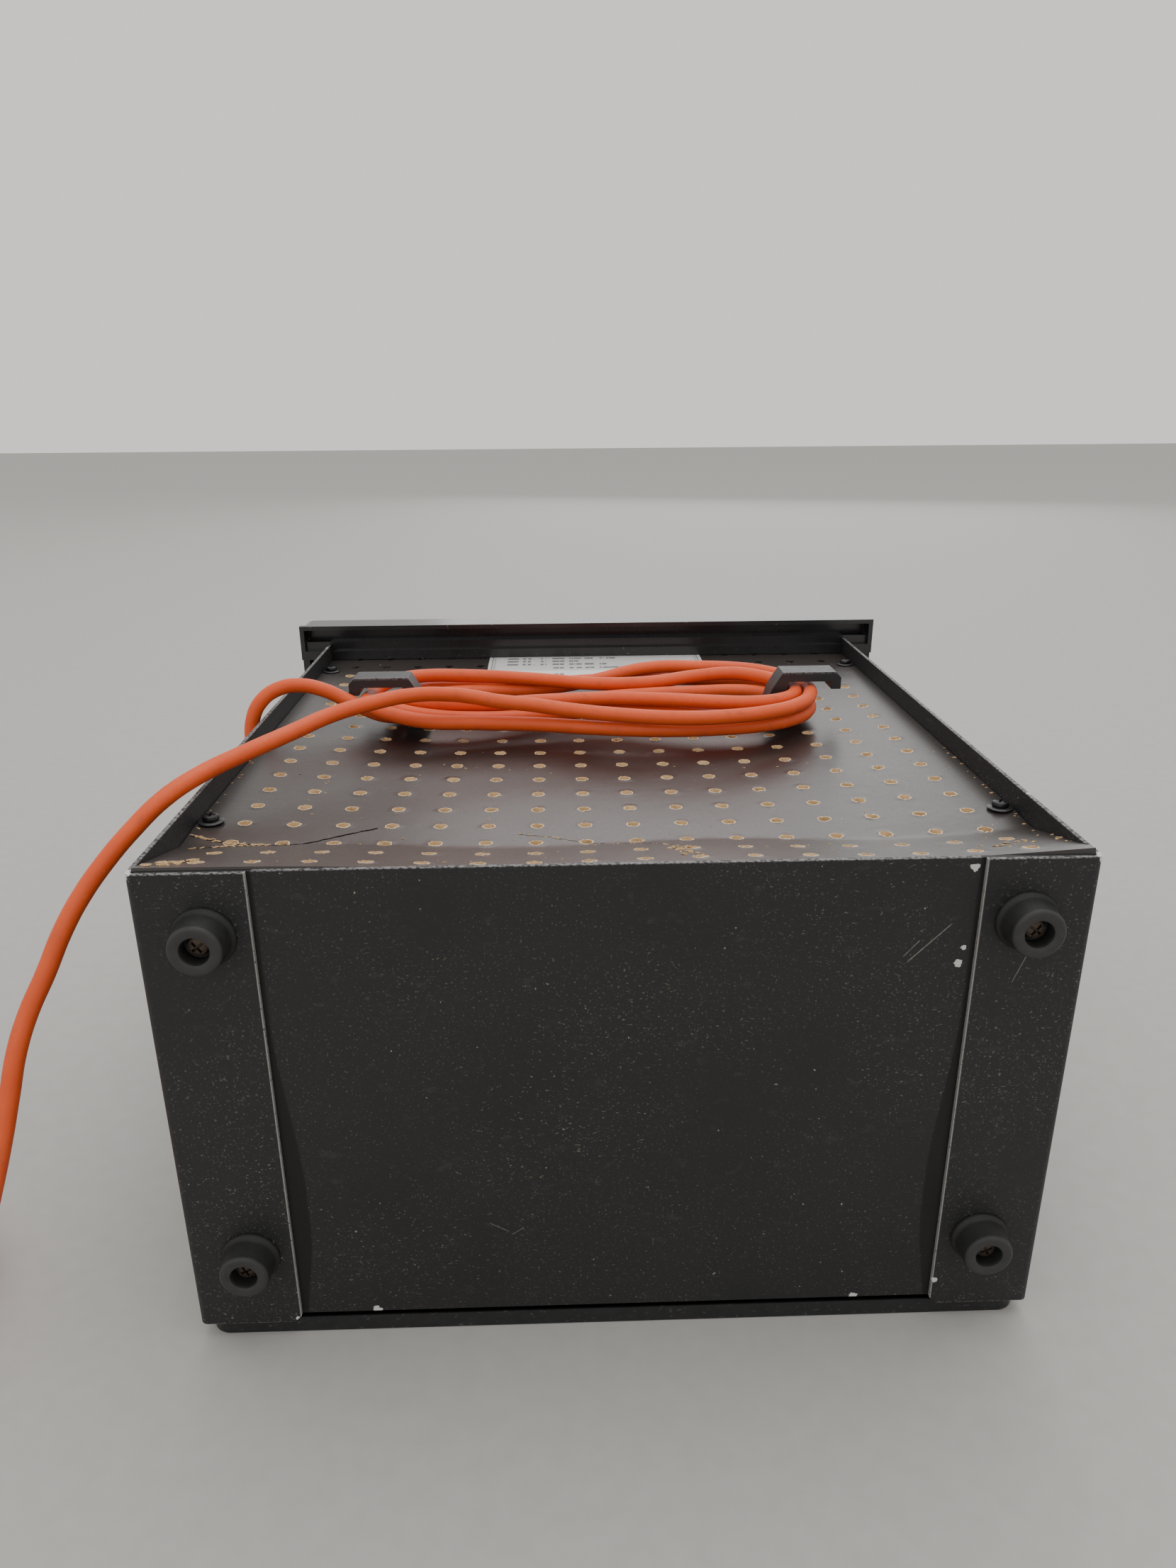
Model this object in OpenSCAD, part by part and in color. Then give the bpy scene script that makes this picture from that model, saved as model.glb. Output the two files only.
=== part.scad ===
// Portable classroom audio unit, lying on its front: a folded steel case with a
// loudspeaker behind a punched grille, a hardboard back with cord hooks, and a
// moulded top that holds a cassette deck and the controls.
//
// Frame of each sub-part: X across the case, Y from the underside to the top,
// Z from the front edge of the case to its back. in_frame() then sets the whole
// unit on its grille, with the middle of its height at Y = 0.

/* [Case] */
// Width over the two side panels
case_w = 325; // [300:1:400]
// Height of the steel case, from the underside to the moulding
case_h = 340; // [320:1:420]
// Depth of the case, from its front edge to its rear edge
case_d = 192; // [170:1:240]
// Thickness of the case's sheet steel
sheet = 1.6; // [1.2:0.1:2]
// Outer radius of the bend along each bottom corner
bend_r = 3; // [2.4:0.1:5]
// Width of the flange that each side panel folds under the case
flange_w = 39.5; // [34:0.5:50]
// Width of the folds that hold the baffle and the moulding
return_w = 15.5; // [12:0.5:18]
// How far the bottom plate stops short of the front edge
plate_short = 2.8; // [1:0.1:6]

/* [Back] */
// Thickness of the hardboard
board_t = 3.2; // [2.5:0.1:5]
// How far the hardboard sits inside the rear edge
board_set = 9.5; // [7:0.5:12]
// Gap round the hardboard
board_gap = 0.3; // [0.2:0.1:1]
// Distance between vent holes
hole_pitch = 19.05; // [16:0.05:25.4]
// Diameter of a vent hole
hole_d = 4.8; // [3:0.1:6]
// Height of the lowest row of vent holes
first_row = 12.9; // [10:0.1:20]
// Side of the square rails that the board is screwed to
rail = 12; // [10:0.5:16]
// Heights of the board's screws
board_screw_low = 69; // [40:1:100]
// Distance of the upper screws below the moulding
board_screw_high = 32; // [20:1:60]
// Diameter of a washer under a board screw
washer_d = 10; // [8:0.5:11]

/* [Feet] */
// Diameter of a foot where it meets the case
foot_base_d = 22; // [16:0.5:26]
// Diameter of a foot's tip
foot_tip_d = 18; // [14:0.5:24]
// Height of a foot
foot_h = 11; // [8:0.5:20]
// Diameter of the recess for the screw's head
foot_recess_d = 9.8; // [9:0.1:12]
// Distance from the case's side to the middle of a foot
foot_side = 23.5; // [18:0.5:26]
// Distance from the front and the back to the middle of a foot
foot_front = 33; // [25:0.5:45]
foot_back = 23; // [18:0.5:40]

/* [Cord hooks] */
// Distance from the middle of the case to a hook's screw
hook_x = 92; // [80:1:100]
// Height of the hooks on the back
hook_y = 210; // [180:1:230]
// Width of a hook, along the height of the case
hook_w = 14; // [10:1:20]
// How far a hook stands off the hardboard
hook_out = 22.3; // [20:0.1:26]

/* [Label] */
// Width of the plain label
label_w = 132; // [80:1:160]
// Height of the label
label_h = 55; // [30:1:60]
// Thickness of the label
label_t = 0.3; // [0.2:0.1:1]

/* [Front] */
// How far the grille and the moulding stand out in front of the case
front_out = 7; // [4:0.5:12]
// Thickness of the grille's sheet
grille_t = 1; // [0.8:0.1:1.6]
// Distance from the case's side to the grille's edge
grille_in = 2.5; // [1:0.5:6]
// Thickness of the baffle
baffle_t = 12; // [9:0.5:18]
// Radius of the loudspeaker over its flange
speaker_r = 100; // [70:1:105]
// Height of the loudspeaker's middle
speaker_y = 150; // [125:1:160]
// Depth of the loudspeaker from its flange to the back of its magnet
speaker_depth = 74; // [60:1:90]

/* [Top] */
// How far the moulding stands out past each side of the case
side_out = 17; // [12:0.5:24]
// How far the moulding stands out behind the case
rear_out = 12; // [10:0.5:20]
// Height of the moulding
cap_h = 16; // [16:0.5:22]
// Wall round the moulding's edge
cap_rim = 4; // [3:0.5:5]
// Depth of the groove under the overhang
groove_h = 9; // [5:0.5:10]
// Thickness of the moulding's ledge under the control panel
ledge_t = 4; // [3:0.5:6]
// Thickness of the control panel
panel_t = 3; // [2:0.5:4]
// Radius of a control knob
knob_r = 10; // [7:0.5:11]
// Distance between knobs
knob_pitch = 34; // [24:1:34]
// Width of a deck key
key_w = 18.6; // [14:0.1:18.8]
// Radius of a jack socket's bore
jack_r = 3.2; // [3.2:0.05:3.4]

/* [Mains cord] */
// Diameter of the cord
cord_d = 7.2; // [6:0.1:8]

/* [Hidden] */
$fn = 48;

// The unit's height and place in its own frame
top_y = case_h + cap_h;
mid_y = (top_y - foot_h) / 2;
side_x = case_w / 2;
wall_x = side_x - sheet;
// Gaps between pieces that are put together by hand
slip = 0.3;
run = 0.05;
eps = 0.5;

// The hardboard's outer and inner faces, and its edges
board_z = case_d - board_set;
board_back = board_z - board_t;
board_top = case_h - board_gap;
board_low = 2 * sheet + board_gap;
rail_x = wall_x - rail;
screw_x = wall_x - washer_d / 2 - 0.4;
board_screws = [for (s = [-1, 1], y = [board_screw_low, case_h - board_screw_high]) [s * screw_x, y]];
washer_t = 1;

// Self-tapping screws: shank, clearance and head
tap_r = 1.75;
tap_free_r = 2.2;
head_r = 3.2;
head_h = 2.2;

// Feet and their screws
feet_at = [for (s = [-1, 1], z = [foot_front, case_d - foot_back]) [s * (side_x - foot_side), z]];
foot_floor = 5;
foot_screw_r = 2;
foot_head_r = 3.8;

// The moulding's inner face towards the case, its groove and the panel's seat
cap_half = side_x + side_out;
cap_back = case_d + rear_out;
groove_gap = 0.7;
panel_y = case_h + ledge_t;
panel_top = panel_y + panel_t;
seat_x = side_x - 8.5;
seat_front = 8;
seat_back = case_d - 12;
seat_step = 6;
moulding_screw_x = wall_x - head_r - 0.2;
moulding_screws_at = [for (s = [-1, 1], z = [40, case_d - 62]) [s * moulding_screw_x, z]];
panel_screws_at = [for (s = [-1, 1], z = [seat_front + 3.4, seat_back - 3.4]) [s * (seat_x - 3.4), z]];
panel_screw_r = 1.2;

// The cassette well, let into the control panel
well_wall = 2;
well_w = 124;
well_x = -(seat_x - seat_step - 11 - well_w / 2);
well_z0 = 72;
well_z1 = 160;
well_depth = 21;
well_floor = panel_top - well_depth;
pin_r = 1.2;
pin_y = panel_top - 1.8;
pin_z = well_z1 - well_wall - 3;
lid_gap = 0.4;
window = [60, 34];
window_z = 112;
spindle_gap = 42.5;
spindle_z = 116;
spindle_r = 4.5;
spindle_top = 11;
spindle_shaft_r = 1.5;

// Six keys side by side in one slot in front of the well
keys = ["key_record", "key_play", "key_rewind", "key_forward", "key_stop", "key_pause"];
key_colours = ["firebrick", "dimgray", "dimgray", "dimgray", "dimgray", "dimgray"];
key_pitch = 19.8;
key_z0 = 38;
key_len = 24;
key_up = 5;
key_deep = 8;

// Knobs, sockets and the row with the switch
knobs = ["knob_volume", "knob_bass", "knob_treble", "knob_microphone"];
knob_first = 28;
knob_z = 130;
knob_h = 8;
shaft_r = 3;
pot_r = 8.5;
pot_h = 12;
bush_r = 4.5;
jacks = 5;
jack_first = 28;
jack_pitch = 25.5;
jack_z = 88;
jack_deep = 20;
jack_barrel_r = 4.6;
switch_x = 122;
switch_z = 40;
switch_w = 30;
switch_d = 20;
switch_in = [23.2, 12];
switch_y = panel_y;
switch_tilt = 8;
lamp_x = 92;
lamp_r = 3;
fuse_x = 60;
fuse_r = 6;

// The loudspeaker, on the back of the baffle
baffle_z = sheet;
speaker_z = baffle_z + baffle_t;
flange_t = 2;
cone_r = speaker_r - 20;
coil_r = 16;
coil_z = speaker_z + 36;
magnet_r = 45;
magnet_t = 20;
basket_t = 1.6;
basket_back = speaker_z + speaker_depth - magnet_t;
speaker_screws_at = [for (a = [45:90:315]) (speaker_r - 4.5) * [cos(a), sin(a)]];

// Mains transformer and amplifier on the bottom plate
plate_top = 2 * sheet;
core = [66, 55, 44];
core_at = [-125, 70];
limb = 22;
window_w = 11;
yoke = 11;
pcb_at = [-20, 62];
pcb = [150, 1.6, 96];
standoff = 8;
sink = [62, 34, 26];
capacitor_r = 11;
capacitor_h = 38;

// Cord gland on the left side panel, with a boot that turns towards the back
gland_y = 192;
gland_z = 108;
gland_r = 6;
gland_flange_r = 10;
boot_x = -side_x - 8.5;
boot_end = 150;

// The loop of cord round the hooks
hank_half = 117.5;
hank_side = 58;
hank_in_half = 100.5;
hank_in_side = 14;
hank_low = board_z + 0.5;
hank_top = board_z + 16.7;

// The spare cord, wound up on the floor, with its plug
floor_z = -front_out;
coil_at = [-305, 17];
coil_mid = 39;
plug_w = 50;
plug_len = 50;
plug_t = 22;
plug_at = [-345, 87];
pin_gap = 22.2;

// From the gland's boot over the edge of the side panel to the hooks
lead_route = [[-171, 192, 150], [-172, 192, 163], [-173, 192.5, 175], [-172, 193, 186],
    [-167, 194, 196], [-158, 196, 202], [-147, 198, 203], [-136, 199, 200], [-126, 199, 195],
    [-116, 198.5, 190], [-107, 197.5, 187]];
// From the hooks over the edge, down the side and along the floor to the coil
run_route = [[-50, 177, 199.5], [-60, 177, 201.5], [-72, 174.5, 203.7], [-88, 167.5, 205.5],
    [-104, 154, 206], [-120, 139, 205], [-134, 119, 203], [-149, 99, 200.5], [-163, 82, 197],
    [-173, 70, 192], [-182, 60, 184], [-191, 51, 174], [-199, 44, 163], [-205, 38, 152],
    [-211, 32, 138], [-217, 26, 125], [-221, 20, 112], [-224, 15, 97], [-227, 9, 81],
    [-231, 3, 64], [-236, -3, 46], [-243, -9, 29], [-253, -14, 13], [-266, -18, 2.5],
    [-280, -20.5, -2.6], [-292, -23, -3.4]];
// From the coil to the plug
tail_route = [[-347.8, 28, 3.6], [-347.6, 38, 1.8], [-347, 48, -0.6], [-346, 58, -0.6],
    [-345.2, 67, 1.2], [-345, 75, 2.5]];

// Everything is drawn upright in front of its own origin and then laid in place
module in_frame() {
    translate([0, -mid_y, front_out]) children();
}

// A rectangle with round corners, centred on x
module round_rect(w, z0, z1, r) {
    translate([-w / 2 + r, z0]) square([w - 2 * r, z1 - z0]);
    translate([-w / 2, z0 + r]) square([w, z1 - z0 - 2 * r]);
    for (x = [-w / 2 + r, w / 2 - r], z = [z0 + r, z1 - r]) translate([x, z]) circle(r);
}

// The same, as a slab that lies across the height of the case from y0 to y1
module slab(w, z0, z1, y0, y1, r) {
    translate([0, y1, 0]) rotate([90, 0, 0]) linear_extrude(y1 - y0) round_rect(w, z0, z1, r);
}

// A block between two corners
module block(low, high) {
    translate(low) cube(high - low);
}

// A round bar along Y from y0 to y1
module bar(x, z, y0, y1, r) {
    translate([x, y1, z]) rotate([90, 0, 0]) cylinder(h = y1 - y0, r = r);
}

// A tube swept along points, with rings that don't twist
function unit(v) = v / norm(v);
function heading(p, i) = unit(p[min(i + 1, len(p) - 1)] - p[max(i - 1, 0)]);
function across(n, t) = unit(n - (n * t) * t);
function normals(p, i, n) = i == len(p) ? [] :
    let (m = across(n, heading(p, i))) concat([m], normals(p, i + 1, m));
module tube(p, r, sides = 10) {
    first = abs(heading(p, 0)[2]) > 0.7 ? [0, 1, 0] : [0, 0, 1];
    n = normals(p, 0, first);
    rings = [for (i = [0:len(p) - 1]) let (b = cross(heading(p, i), n[i]))
        for (k = [0:sides - 1]) let (a = 360 * k / sides) p[i] + r * (cos(a) * n[i] + sin(a) * b)];
    last = (len(p) - 1) * sides;
    walls = [for (i = [0:len(p) - 2], k = [0:sides - 1]) let (a = i * sides, j = (k + 1) % sides)
        [a + k, a + sides + k, a + sides + j, a + j]];
    polyhedron(rings, concat([[for (k = [0:sides - 1]) k]], walls, [[for (k = [sides - 1:-1:0])
        last + k]]));
}

// One side panel: the side, the fold under the case, and the folds at the front and the top
module side_panel(gland) {
    difference() {
        union() {
            linear_extrude(case_d) {
                translate([wall_x, bend_r]) square([sheet, case_h - bend_r]);
                translate([side_x - flange_w, 0]) square([flange_w - bend_r, sheet]);
                translate([side_x - bend_r, bend_r]) difference() {
                    circle(bend_r);
                    circle(bend_r - sheet);
                    translate([-2 * bend_r, -2 * bend_r]) square([2 * bend_r, 4 * bend_r]);
                    translate([-2 * bend_r, 0]) square([4 * bend_r, 2 * bend_r]);
                }
            }
            block([side_x - return_w, bend_r + 2, 0], [wall_x + eps, case_h, sheet]);
            block([side_x - return_w, case_h - sheet, 12], [wall_x + eps, case_h, case_d - 27]);
        }
        for (z = [foot_front, case_d - foot_back])
            bar(side_x - foot_side, z, -eps, sheet + eps, tap_free_r);
        for (p = moulding_screws_at) if (p[0] > 0)
            bar(p[0], p[1], case_h - sheet - eps, case_h + eps, tap_free_r);
        translate([side_x - flange_w, -eps, 0]) rotate([0, 45, 0])
            translate([-2, 0, -2]) cube([4, sheet + 2 * eps, 4]);
        if (gland) translate([wall_x - eps, gland_y, gland_z]) rotate([0, 90, 0])
            cylinder(h = sheet + 2 * eps, r = gland_r + slip);
    }
}

module side_panel_left() {
    color([0.1, 0.1, 0.11]) mirror([1, 0, 0]) side_panel(true);
}

module side_panel_right() {
    color([0.1, 0.1, 0.11]) side_panel(false);
}

module bottom_plate() {
    color([0.09, 0.09, 0.1]) difference() {
        block([-side_x + bend_r + 0.2, sheet, plate_short], [side_x - bend_r - 0.2, 2 * sheet, case_d]);
        for (p = feet_at) bar(p[0], p[1], 0, 3 * sheet, foot_screw_r);
    }
}

// Hardboard with its grid of vent holes
module back_panel() {
    half = wall_x - board_gap;
    columns = floor((case_w - 28) / hole_pitch) + 1;
    rows = floor((board_top - first_row - hole_d / 2 - 0.5) / hole_pitch) + 1;
    color([0.16, 0.13, 0.12]) difference() {
        block([-half, board_low, board_back], [half, board_top, board_z]);
        for (i = [0:columns - 1], j = [0:rows - 1])
            translate([(i - (columns - 1) / 2) * hole_pitch, first_row + j * hole_pitch,
                board_back - eps])
                cylinder(h = board_t + 2 * eps, d = hole_d, $fn = 24);
        for (p = board_screws) translate([p[0], p[1], board_back - eps])
            cylinder(h = board_t + 2 * eps, r = tap_free_r);
        for (s = [-1, 1]) translate([s * hook_x, hook_y, board_back - eps])
            cylinder(h = board_t + 2 * eps, r = tap_free_r);
    }
}

module back_rails() {
    color("burlywood") for (s = [-1, 1]) difference() {
        translate([s > 0 ? rail_x : -wall_x, 10, board_back - rail]) cube([rail, case_h - 20, rail]);
        for (p = board_screws) translate([p[0], p[1], board_back - rail + 2])
            cylinder(h = rail, r = tap_r);
    }
}

module back_washers() {
    color([0.05, 0.05, 0.05]) for (p = board_screws) translate([p[0], p[1], board_z]) difference() {
        cylinder(h = washer_t, d = washer_d);
        translate([0, 0, -eps]) cylinder(h = washer_t + 2 * eps, r = tap_free_r);
    }
}

// A pan-head screw that points down from the underside of its head
module screw(r, length, head_r, head_h) {
    difference() {
        union() {
            translate([0, 0, -length]) cylinder(h = length + eps, r = r);
            cylinder(h = head_h * 0.6, r = head_r);
            translate([0, 0, head_h * 0.6]) cylinder(h = head_h * 0.4, r1 = head_r, r2 = head_r * 0.7);
        }
        for (a = [0, 90]) rotate(a) translate([-head_r * 0.6, -0.4, head_h * 0.5])
            cube([head_r * 1.2, 0.8, head_h]);
    }
}

module back_screws() {
    color([0.15, 0.15, 0.15]) for (p = board_screws)
        translate([p[0], p[1], board_z + washer_t])
            screw(tap_r, washer_t + board_t + rail - 2.4, head_r, head_h);
}

// Tapered rubber feet, each with a recess for its screw
module rubber_feet() {
    lip = 1.5;
    color([0.07, 0.07, 0.07]) for (p = feet_at) translate([p[0], 0, p[1]]) rotate([90, 0, 0])
        rotate_extrude()
        polygon([[tap_free_r, 0], [foot_base_d / 2, 0], [foot_base_d / 2, lip],
            [foot_tip_d / 2 + 0.8, lip + 1.5],
            [foot_tip_d / 2, foot_h - 1], [foot_tip_d / 2 - 1, foot_h], [foot_recess_d / 2, foot_h],
            [foot_recess_d / 2, foot_floor], [tap_free_r, foot_floor]]);
}

module foot_screws() {
    color("silver") for (p = feet_at) translate([p[0], -foot_floor, p[1]]) rotate([90, 0, 0])
        screw(foot_screw_r, foot_floor + 3 * sheet, foot_head_r, 2.8);
}

// An L-shaped hook that the cord is wound round, in the plane of x and z
module cord_hook() {
    arm = hook_out - 5;
    post = hook_x + 6;
    end = hook_x + 33;
    difference() {
        translate([0, hook_y + hook_w / 2, board_z]) rotate([90, 0, 0]) linear_extrude(hook_w)
            polygon([[hook_x - 8, 0], [post - 1, 0], [post, arm], [end - 5, arm], [end - 5, arm - 4],
                [end, arm - 4], [end, hook_out - 3], [end - 3, hook_out], [hook_x + 3, hook_out],
                [hook_x - 2.5, hook_out - 9]]);
        translate([hook_x, hook_y, board_z - eps]) cylinder(h = 9 + eps, r = tap_r);
    }
}

module cord_hook_left() {
    color([0.13, 0.13, 0.14]) mirror([1, 0, 0]) cord_hook();
}

module cord_hook_right() {
    color([0.13, 0.13, 0.14]) cord_hook();
}

module hook_screws() {
    color("silver") for (s = [-1, 1]) translate([s * hook_x, hook_y, board_back]) rotate([180, 0, 0])
        screw(tap_r, board_t + 8.8, head_r, head_h);
}

module rating_label() {
    color([0.75, 0.75, 0.74]) block([4 - label_w / 2, board_top - label_h, board_z],
        [4 + label_w / 2, board_top, board_z + label_t]);
}

// Pan-shaped grille, with its edge turned back to the case
module front_grille() {
    w = case_w - 2 * grille_in;
    color([0.12, 0.12, 0.12]) difference() {
        translate([0, 0, -front_out]) linear_extrude(front_out) round_rect(w, 2, case_h - 2, 8);
        translate([0, 0, -front_out + grille_t]) linear_extrude(front_out + eps)
            round_rect(w - 2 * grille_t, 2 + grille_t, case_h - 2 - grille_t, 7);
    }
}

module baffle_board() {
    color("tan") difference() {
        block([-side_x + 4.5, 6, baffle_z], [side_x - 4.5, case_h - 6, speaker_z]);
        translate([0, speaker_y, baffle_z - eps])
            cylinder(h = baffle_t + 2 * eps, r = speaker_r - 8, $fn = 96);
        for (p = speaker_screws_at) translate([p[0], speaker_y + p[1], baffle_z + 3])
            cylinder(h = baffle_t, r = tap_r);
    }
}

// Pressed steel basket: flange, cone and the cup that holds the magnet
module speaker_basket() {
    color("dimgray") translate([0, speaker_y, 0]) difference() {
        rotate_extrude($fn = 96) polygon([[speaker_r - 8, speaker_z], [speaker_r, speaker_z],
            [speaker_r, speaker_z + flange_t], [speaker_r - 10, speaker_z + flange_t],
            [speaker_r - 14, speaker_z + 12], [magnet_r, basket_back], [coil_r + 2, basket_back],
            [coil_r + 2, basket_back - basket_t], [magnet_r - 1, basket_back - basket_t],
            [speaker_r - 16, speaker_z + 11], [speaker_r - 12, speaker_z + flange_t]]);
        for (p = speaker_screws_at) translate([p[0], p[1], speaker_z - eps])
            cylinder(h = 12, r = tap_free_r);
        for (a = [0:60:300]) rotate(a) translate([magnet_r + 7, -14, speaker_z + 22]) cube([24, 28, 20]);
    }
}

module speaker_cone() {
    color([0.2, 0.2, 0.2]) translate([0, speaker_y, 0]) rotate_extrude($fn = 96)
        polygon([[cone_r, speaker_z], [cone_r, speaker_z + 1.2], [coil_r, coil_z], [coil_r, coil_z + 10],
            [coil_r - 1, coil_z + 10], [coil_r - 1, coil_z - 3], [10, coil_z - 9], [0, coil_z - 11],
            [0, coil_z - 12], [10.5, coil_z - 10.2], [coil_r, coil_z - 5]]);
}

// Half-roll of rubber between the cone and the flange
module speaker_surround() {
    mid = (cone_r + speaker_r - 8) / 2;
    roll = (speaker_r - 8 - cone_r) / 2;
    color([0.1, 0.1, 0.1]) translate([0, speaker_y, speaker_z]) rotate_extrude($fn = 96) difference() {
        translate([mid, 0]) circle(roll);
        translate([mid, 0]) circle(roll - 1);
        translate([0, 0]) square([2 * speaker_r, speaker_r]);
    }
}

module speaker_magnet() {
    color([0.25, 0.25, 0.27]) translate([0, speaker_y, basket_back]) difference() {
        union() {
            cylinder(h = magnet_t, r = magnet_r - 3);
            translate([0, 0, -6]) cylinder(h = 8, r = coil_r - 2);
        }
        for (a = [0:120:240]) rotate(a) translate([magnet_r - 10, 0, magnet_t - 2])
            cylinder(h = 3, r = 2);
    }
}

module speaker_screws() {
    color("silver") for (p = speaker_screws_at)
        translate([p[0], speaker_y + p[1], speaker_z + flange_t + 0.6])
            screw(tap_r, flange_t + 8, head_r, head_h);
}

// Moulded top with an overhang that is grooved underneath along the sides and the back
module top_moulding() {
    color([0.05, 0.05, 0.055]) difference() {
        slab(2 * cap_half, -front_out, cap_back, case_h, top_y, 5);
        difference() {
            slab(2 * (cap_half - cap_rim), seat_front, cap_back - cap_rim, case_h - 1,
                case_h + groove_h, 2);
            slab(2 * (side_x + groove_gap), -front_out, case_d + groove_gap, case_h - 2,
                case_h + groove_h + 1, 1);
        }
        slab(2 * seat_x, seat_front, seat_back, panel_y, top_y + 1, 4);
        slab(2 * (seat_x - seat_step), seat_front + seat_step, seat_back - seat_step, case_h - 1,
            panel_y + 1, 4);
        for (p = moulding_screws_at) bar(p[0], p[1], case_h - 1, case_h + 9, tap_r);
        for (p = panel_screws_at) bar(p[0], p[1], case_h + 1, panel_y + 1, panel_screw_r);
    }
}

module moulding_screws() {
    color("silver") for (p = moulding_screws_at)
        translate([p[0], case_h - sheet, p[1]]) rotate([90, 0, 0])
            screw(tap_r, 9.5, head_r - 0.2, head_h);
}

// Flat panel that carries the deck, the knobs and the sockets
module control_panel() {
    key_x = well_x - 3 * key_pitch;
    color([0.2, 0.2, 0.21]) difference() {
        slab(2 * (seat_x - slip), seat_front + slip, seat_back - slip, panel_y, panel_top, 3.5);
        block([well_x - well_w / 2 - slip, panel_y - 1, well_z0 - slip],
            [well_x + well_w / 2 + slip, panel_top + 1, well_z1 + slip]);
        block([key_x, panel_y - 1, key_z0], [key_x + 6 * key_pitch, panel_top + 1, key_z0 + key_len + 1]);
        for (i = [0:3])
            bar(knob_first + i * knob_pitch, knob_z, panel_y - 1, panel_top + 1, bush_r + 0.1);
        for (i = [0:jacks - 1])
            bar(jack_first + i * jack_pitch, jack_z, panel_y - 1, panel_top + 1, jack_barrel_r + 0.1);
        block([switch_x - switch_w / 2 + 1.7, panel_y - 1, switch_z - switch_d / 2 + 1.7],
            [switch_x + switch_w / 2 - 1.7, panel_top + 1, switch_z + switch_d / 2 - 1.7]);
        bar(lamp_x, switch_z, panel_y - 1, panel_top + 1, lamp_r + 0.1);
        bar(fuse_x, switch_z, panel_y - 1, panel_top + 1, fuse_r + 0.1);
        for (p = panel_screws_at) bar(p[0], p[1], panel_y - 1, panel_top + 1, panel_screw_r + 0.3);
    }
}

module panel_screws() {
    color("silver") for (p = panel_screws_at)
        translate([p[0], panel_top, p[1]]) rotate([-90, 0, 0])
            screw(panel_screw_r, panel_t + 2.6, 2.6, 1.6);
}

// Tray for the cassette; its rim is flush with the control panel
module cassette_well() {
    x0 = well_x - well_w / 2;
    x1 = well_x + well_w / 2;
    color([0.1, 0.1, 0.1]) difference() {
        block([x0, well_floor, well_z0], [x1, panel_top, well_z1]);
        block([x0 + well_wall, well_floor + well_wall, well_z0 + well_wall],
            [x1 - well_wall, panel_top + 1, well_z1 - well_wall]);
        for (s = [-1, 1]) bar(well_x + s * spindle_gap / 2, spindle_z, well_floor - 1, well_floor + 3,
            spindle_shaft_r + run);
        translate([x0 - 1, pin_y, pin_z]) rotate([0, 90, 0]) cylinder(h = well_w + 2, r = pin_r);
    }
}

module cassette_lid() {
    half = well_w / 2 - well_wall - lid_gap;
    barrel_r = 2.2;
    color([0.16, 0.16, 0.17]) difference() {
        union() {
            block([well_x - half, panel_y, well_z0 + well_wall + lid_gap], [well_x + half, panel_top,
                pin_z]);
            translate([well_x - half, pin_y, pin_z]) rotate([0, 90, 0])
                cylinder(h = 2 * half, r = barrel_r);
        }
        block([well_x - window[0] / 2, panel_y - 1, window_z - window[1] / 2],
            [well_x + window[0] / 2, panel_top + 1, window_z + window[1] / 2]);
        translate([well_x - half - 1, pin_y, pin_z]) rotate([0, 90, 0])
            cylinder(h = 2 * half + 2, r = pin_r + run);
        bar(well_x, well_z0 + well_wall + 6, panel_top - 1, panel_top + 1, 5);
    }
}

module lid_window() {
    color([0.5, 0.5, 0.5, 0.4]) block([well_x - window[0] / 2, panel_y + 0.5, window_z - window[1] / 2],
        [well_x + window[0] / 2, panel_top - 0.3, window_z + window[1] / 2]);
}

module lid_hinge_pin() {
    color("silver") translate([well_x - well_w / 2, pin_y, pin_z]) rotate([0, 90, 0])
        cylinder(h = well_w, r = pin_r);
}

// One deck key, with a finger hollow across its top
module deck_key(i) {
    x = well_x + (i - 2.5) * key_pitch;
    color(key_colours[i]) difference() {
        block([x - key_w / 2, panel_y - key_deep, key_z0 + 0.5], [x + key_w / 2, panel_top + key_up,
            key_z0 + key_len + 0.5]);
        translate([x - key_w / 2 - 1, panel_top + key_up + 22.5, key_z0 + key_len * 0.45])
            rotate([0, 90, 0])
            cylinder(h = key_w + 2, r = 24, $fn = 96);
    }
}

// A spindle with three drive fins, on its shaft
module spindle(s) {
    x = well_x + s * spindle_gap / 2;
    base = well_floor + well_wall + slip;
    color("ivory") {
        bar(x, spindle_z, well_floor - 5, base + 1, spindle_shaft_r);
        bar(x, spindle_z, base, base + 2, spindle_r);
        bar(x, spindle_z, base, base + spindle_top - 2, spindle_r - 2);
        for (a = [0:120:240]) translate([x, 0, spindle_z]) rotate([0, a, 0])
            block([0, base, -0.5], [spindle_r, base + spindle_top - 4, 0.5]);
    }
}

module deck_motor() {
    color("lightgray") {
        bar(well_x - 38, well_z1 - 24, well_floor - 28, well_floor, 18);
        bar(well_x - 38, well_z1 - 24, well_floor - 30, well_floor - 27, 5);
    }
}

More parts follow.
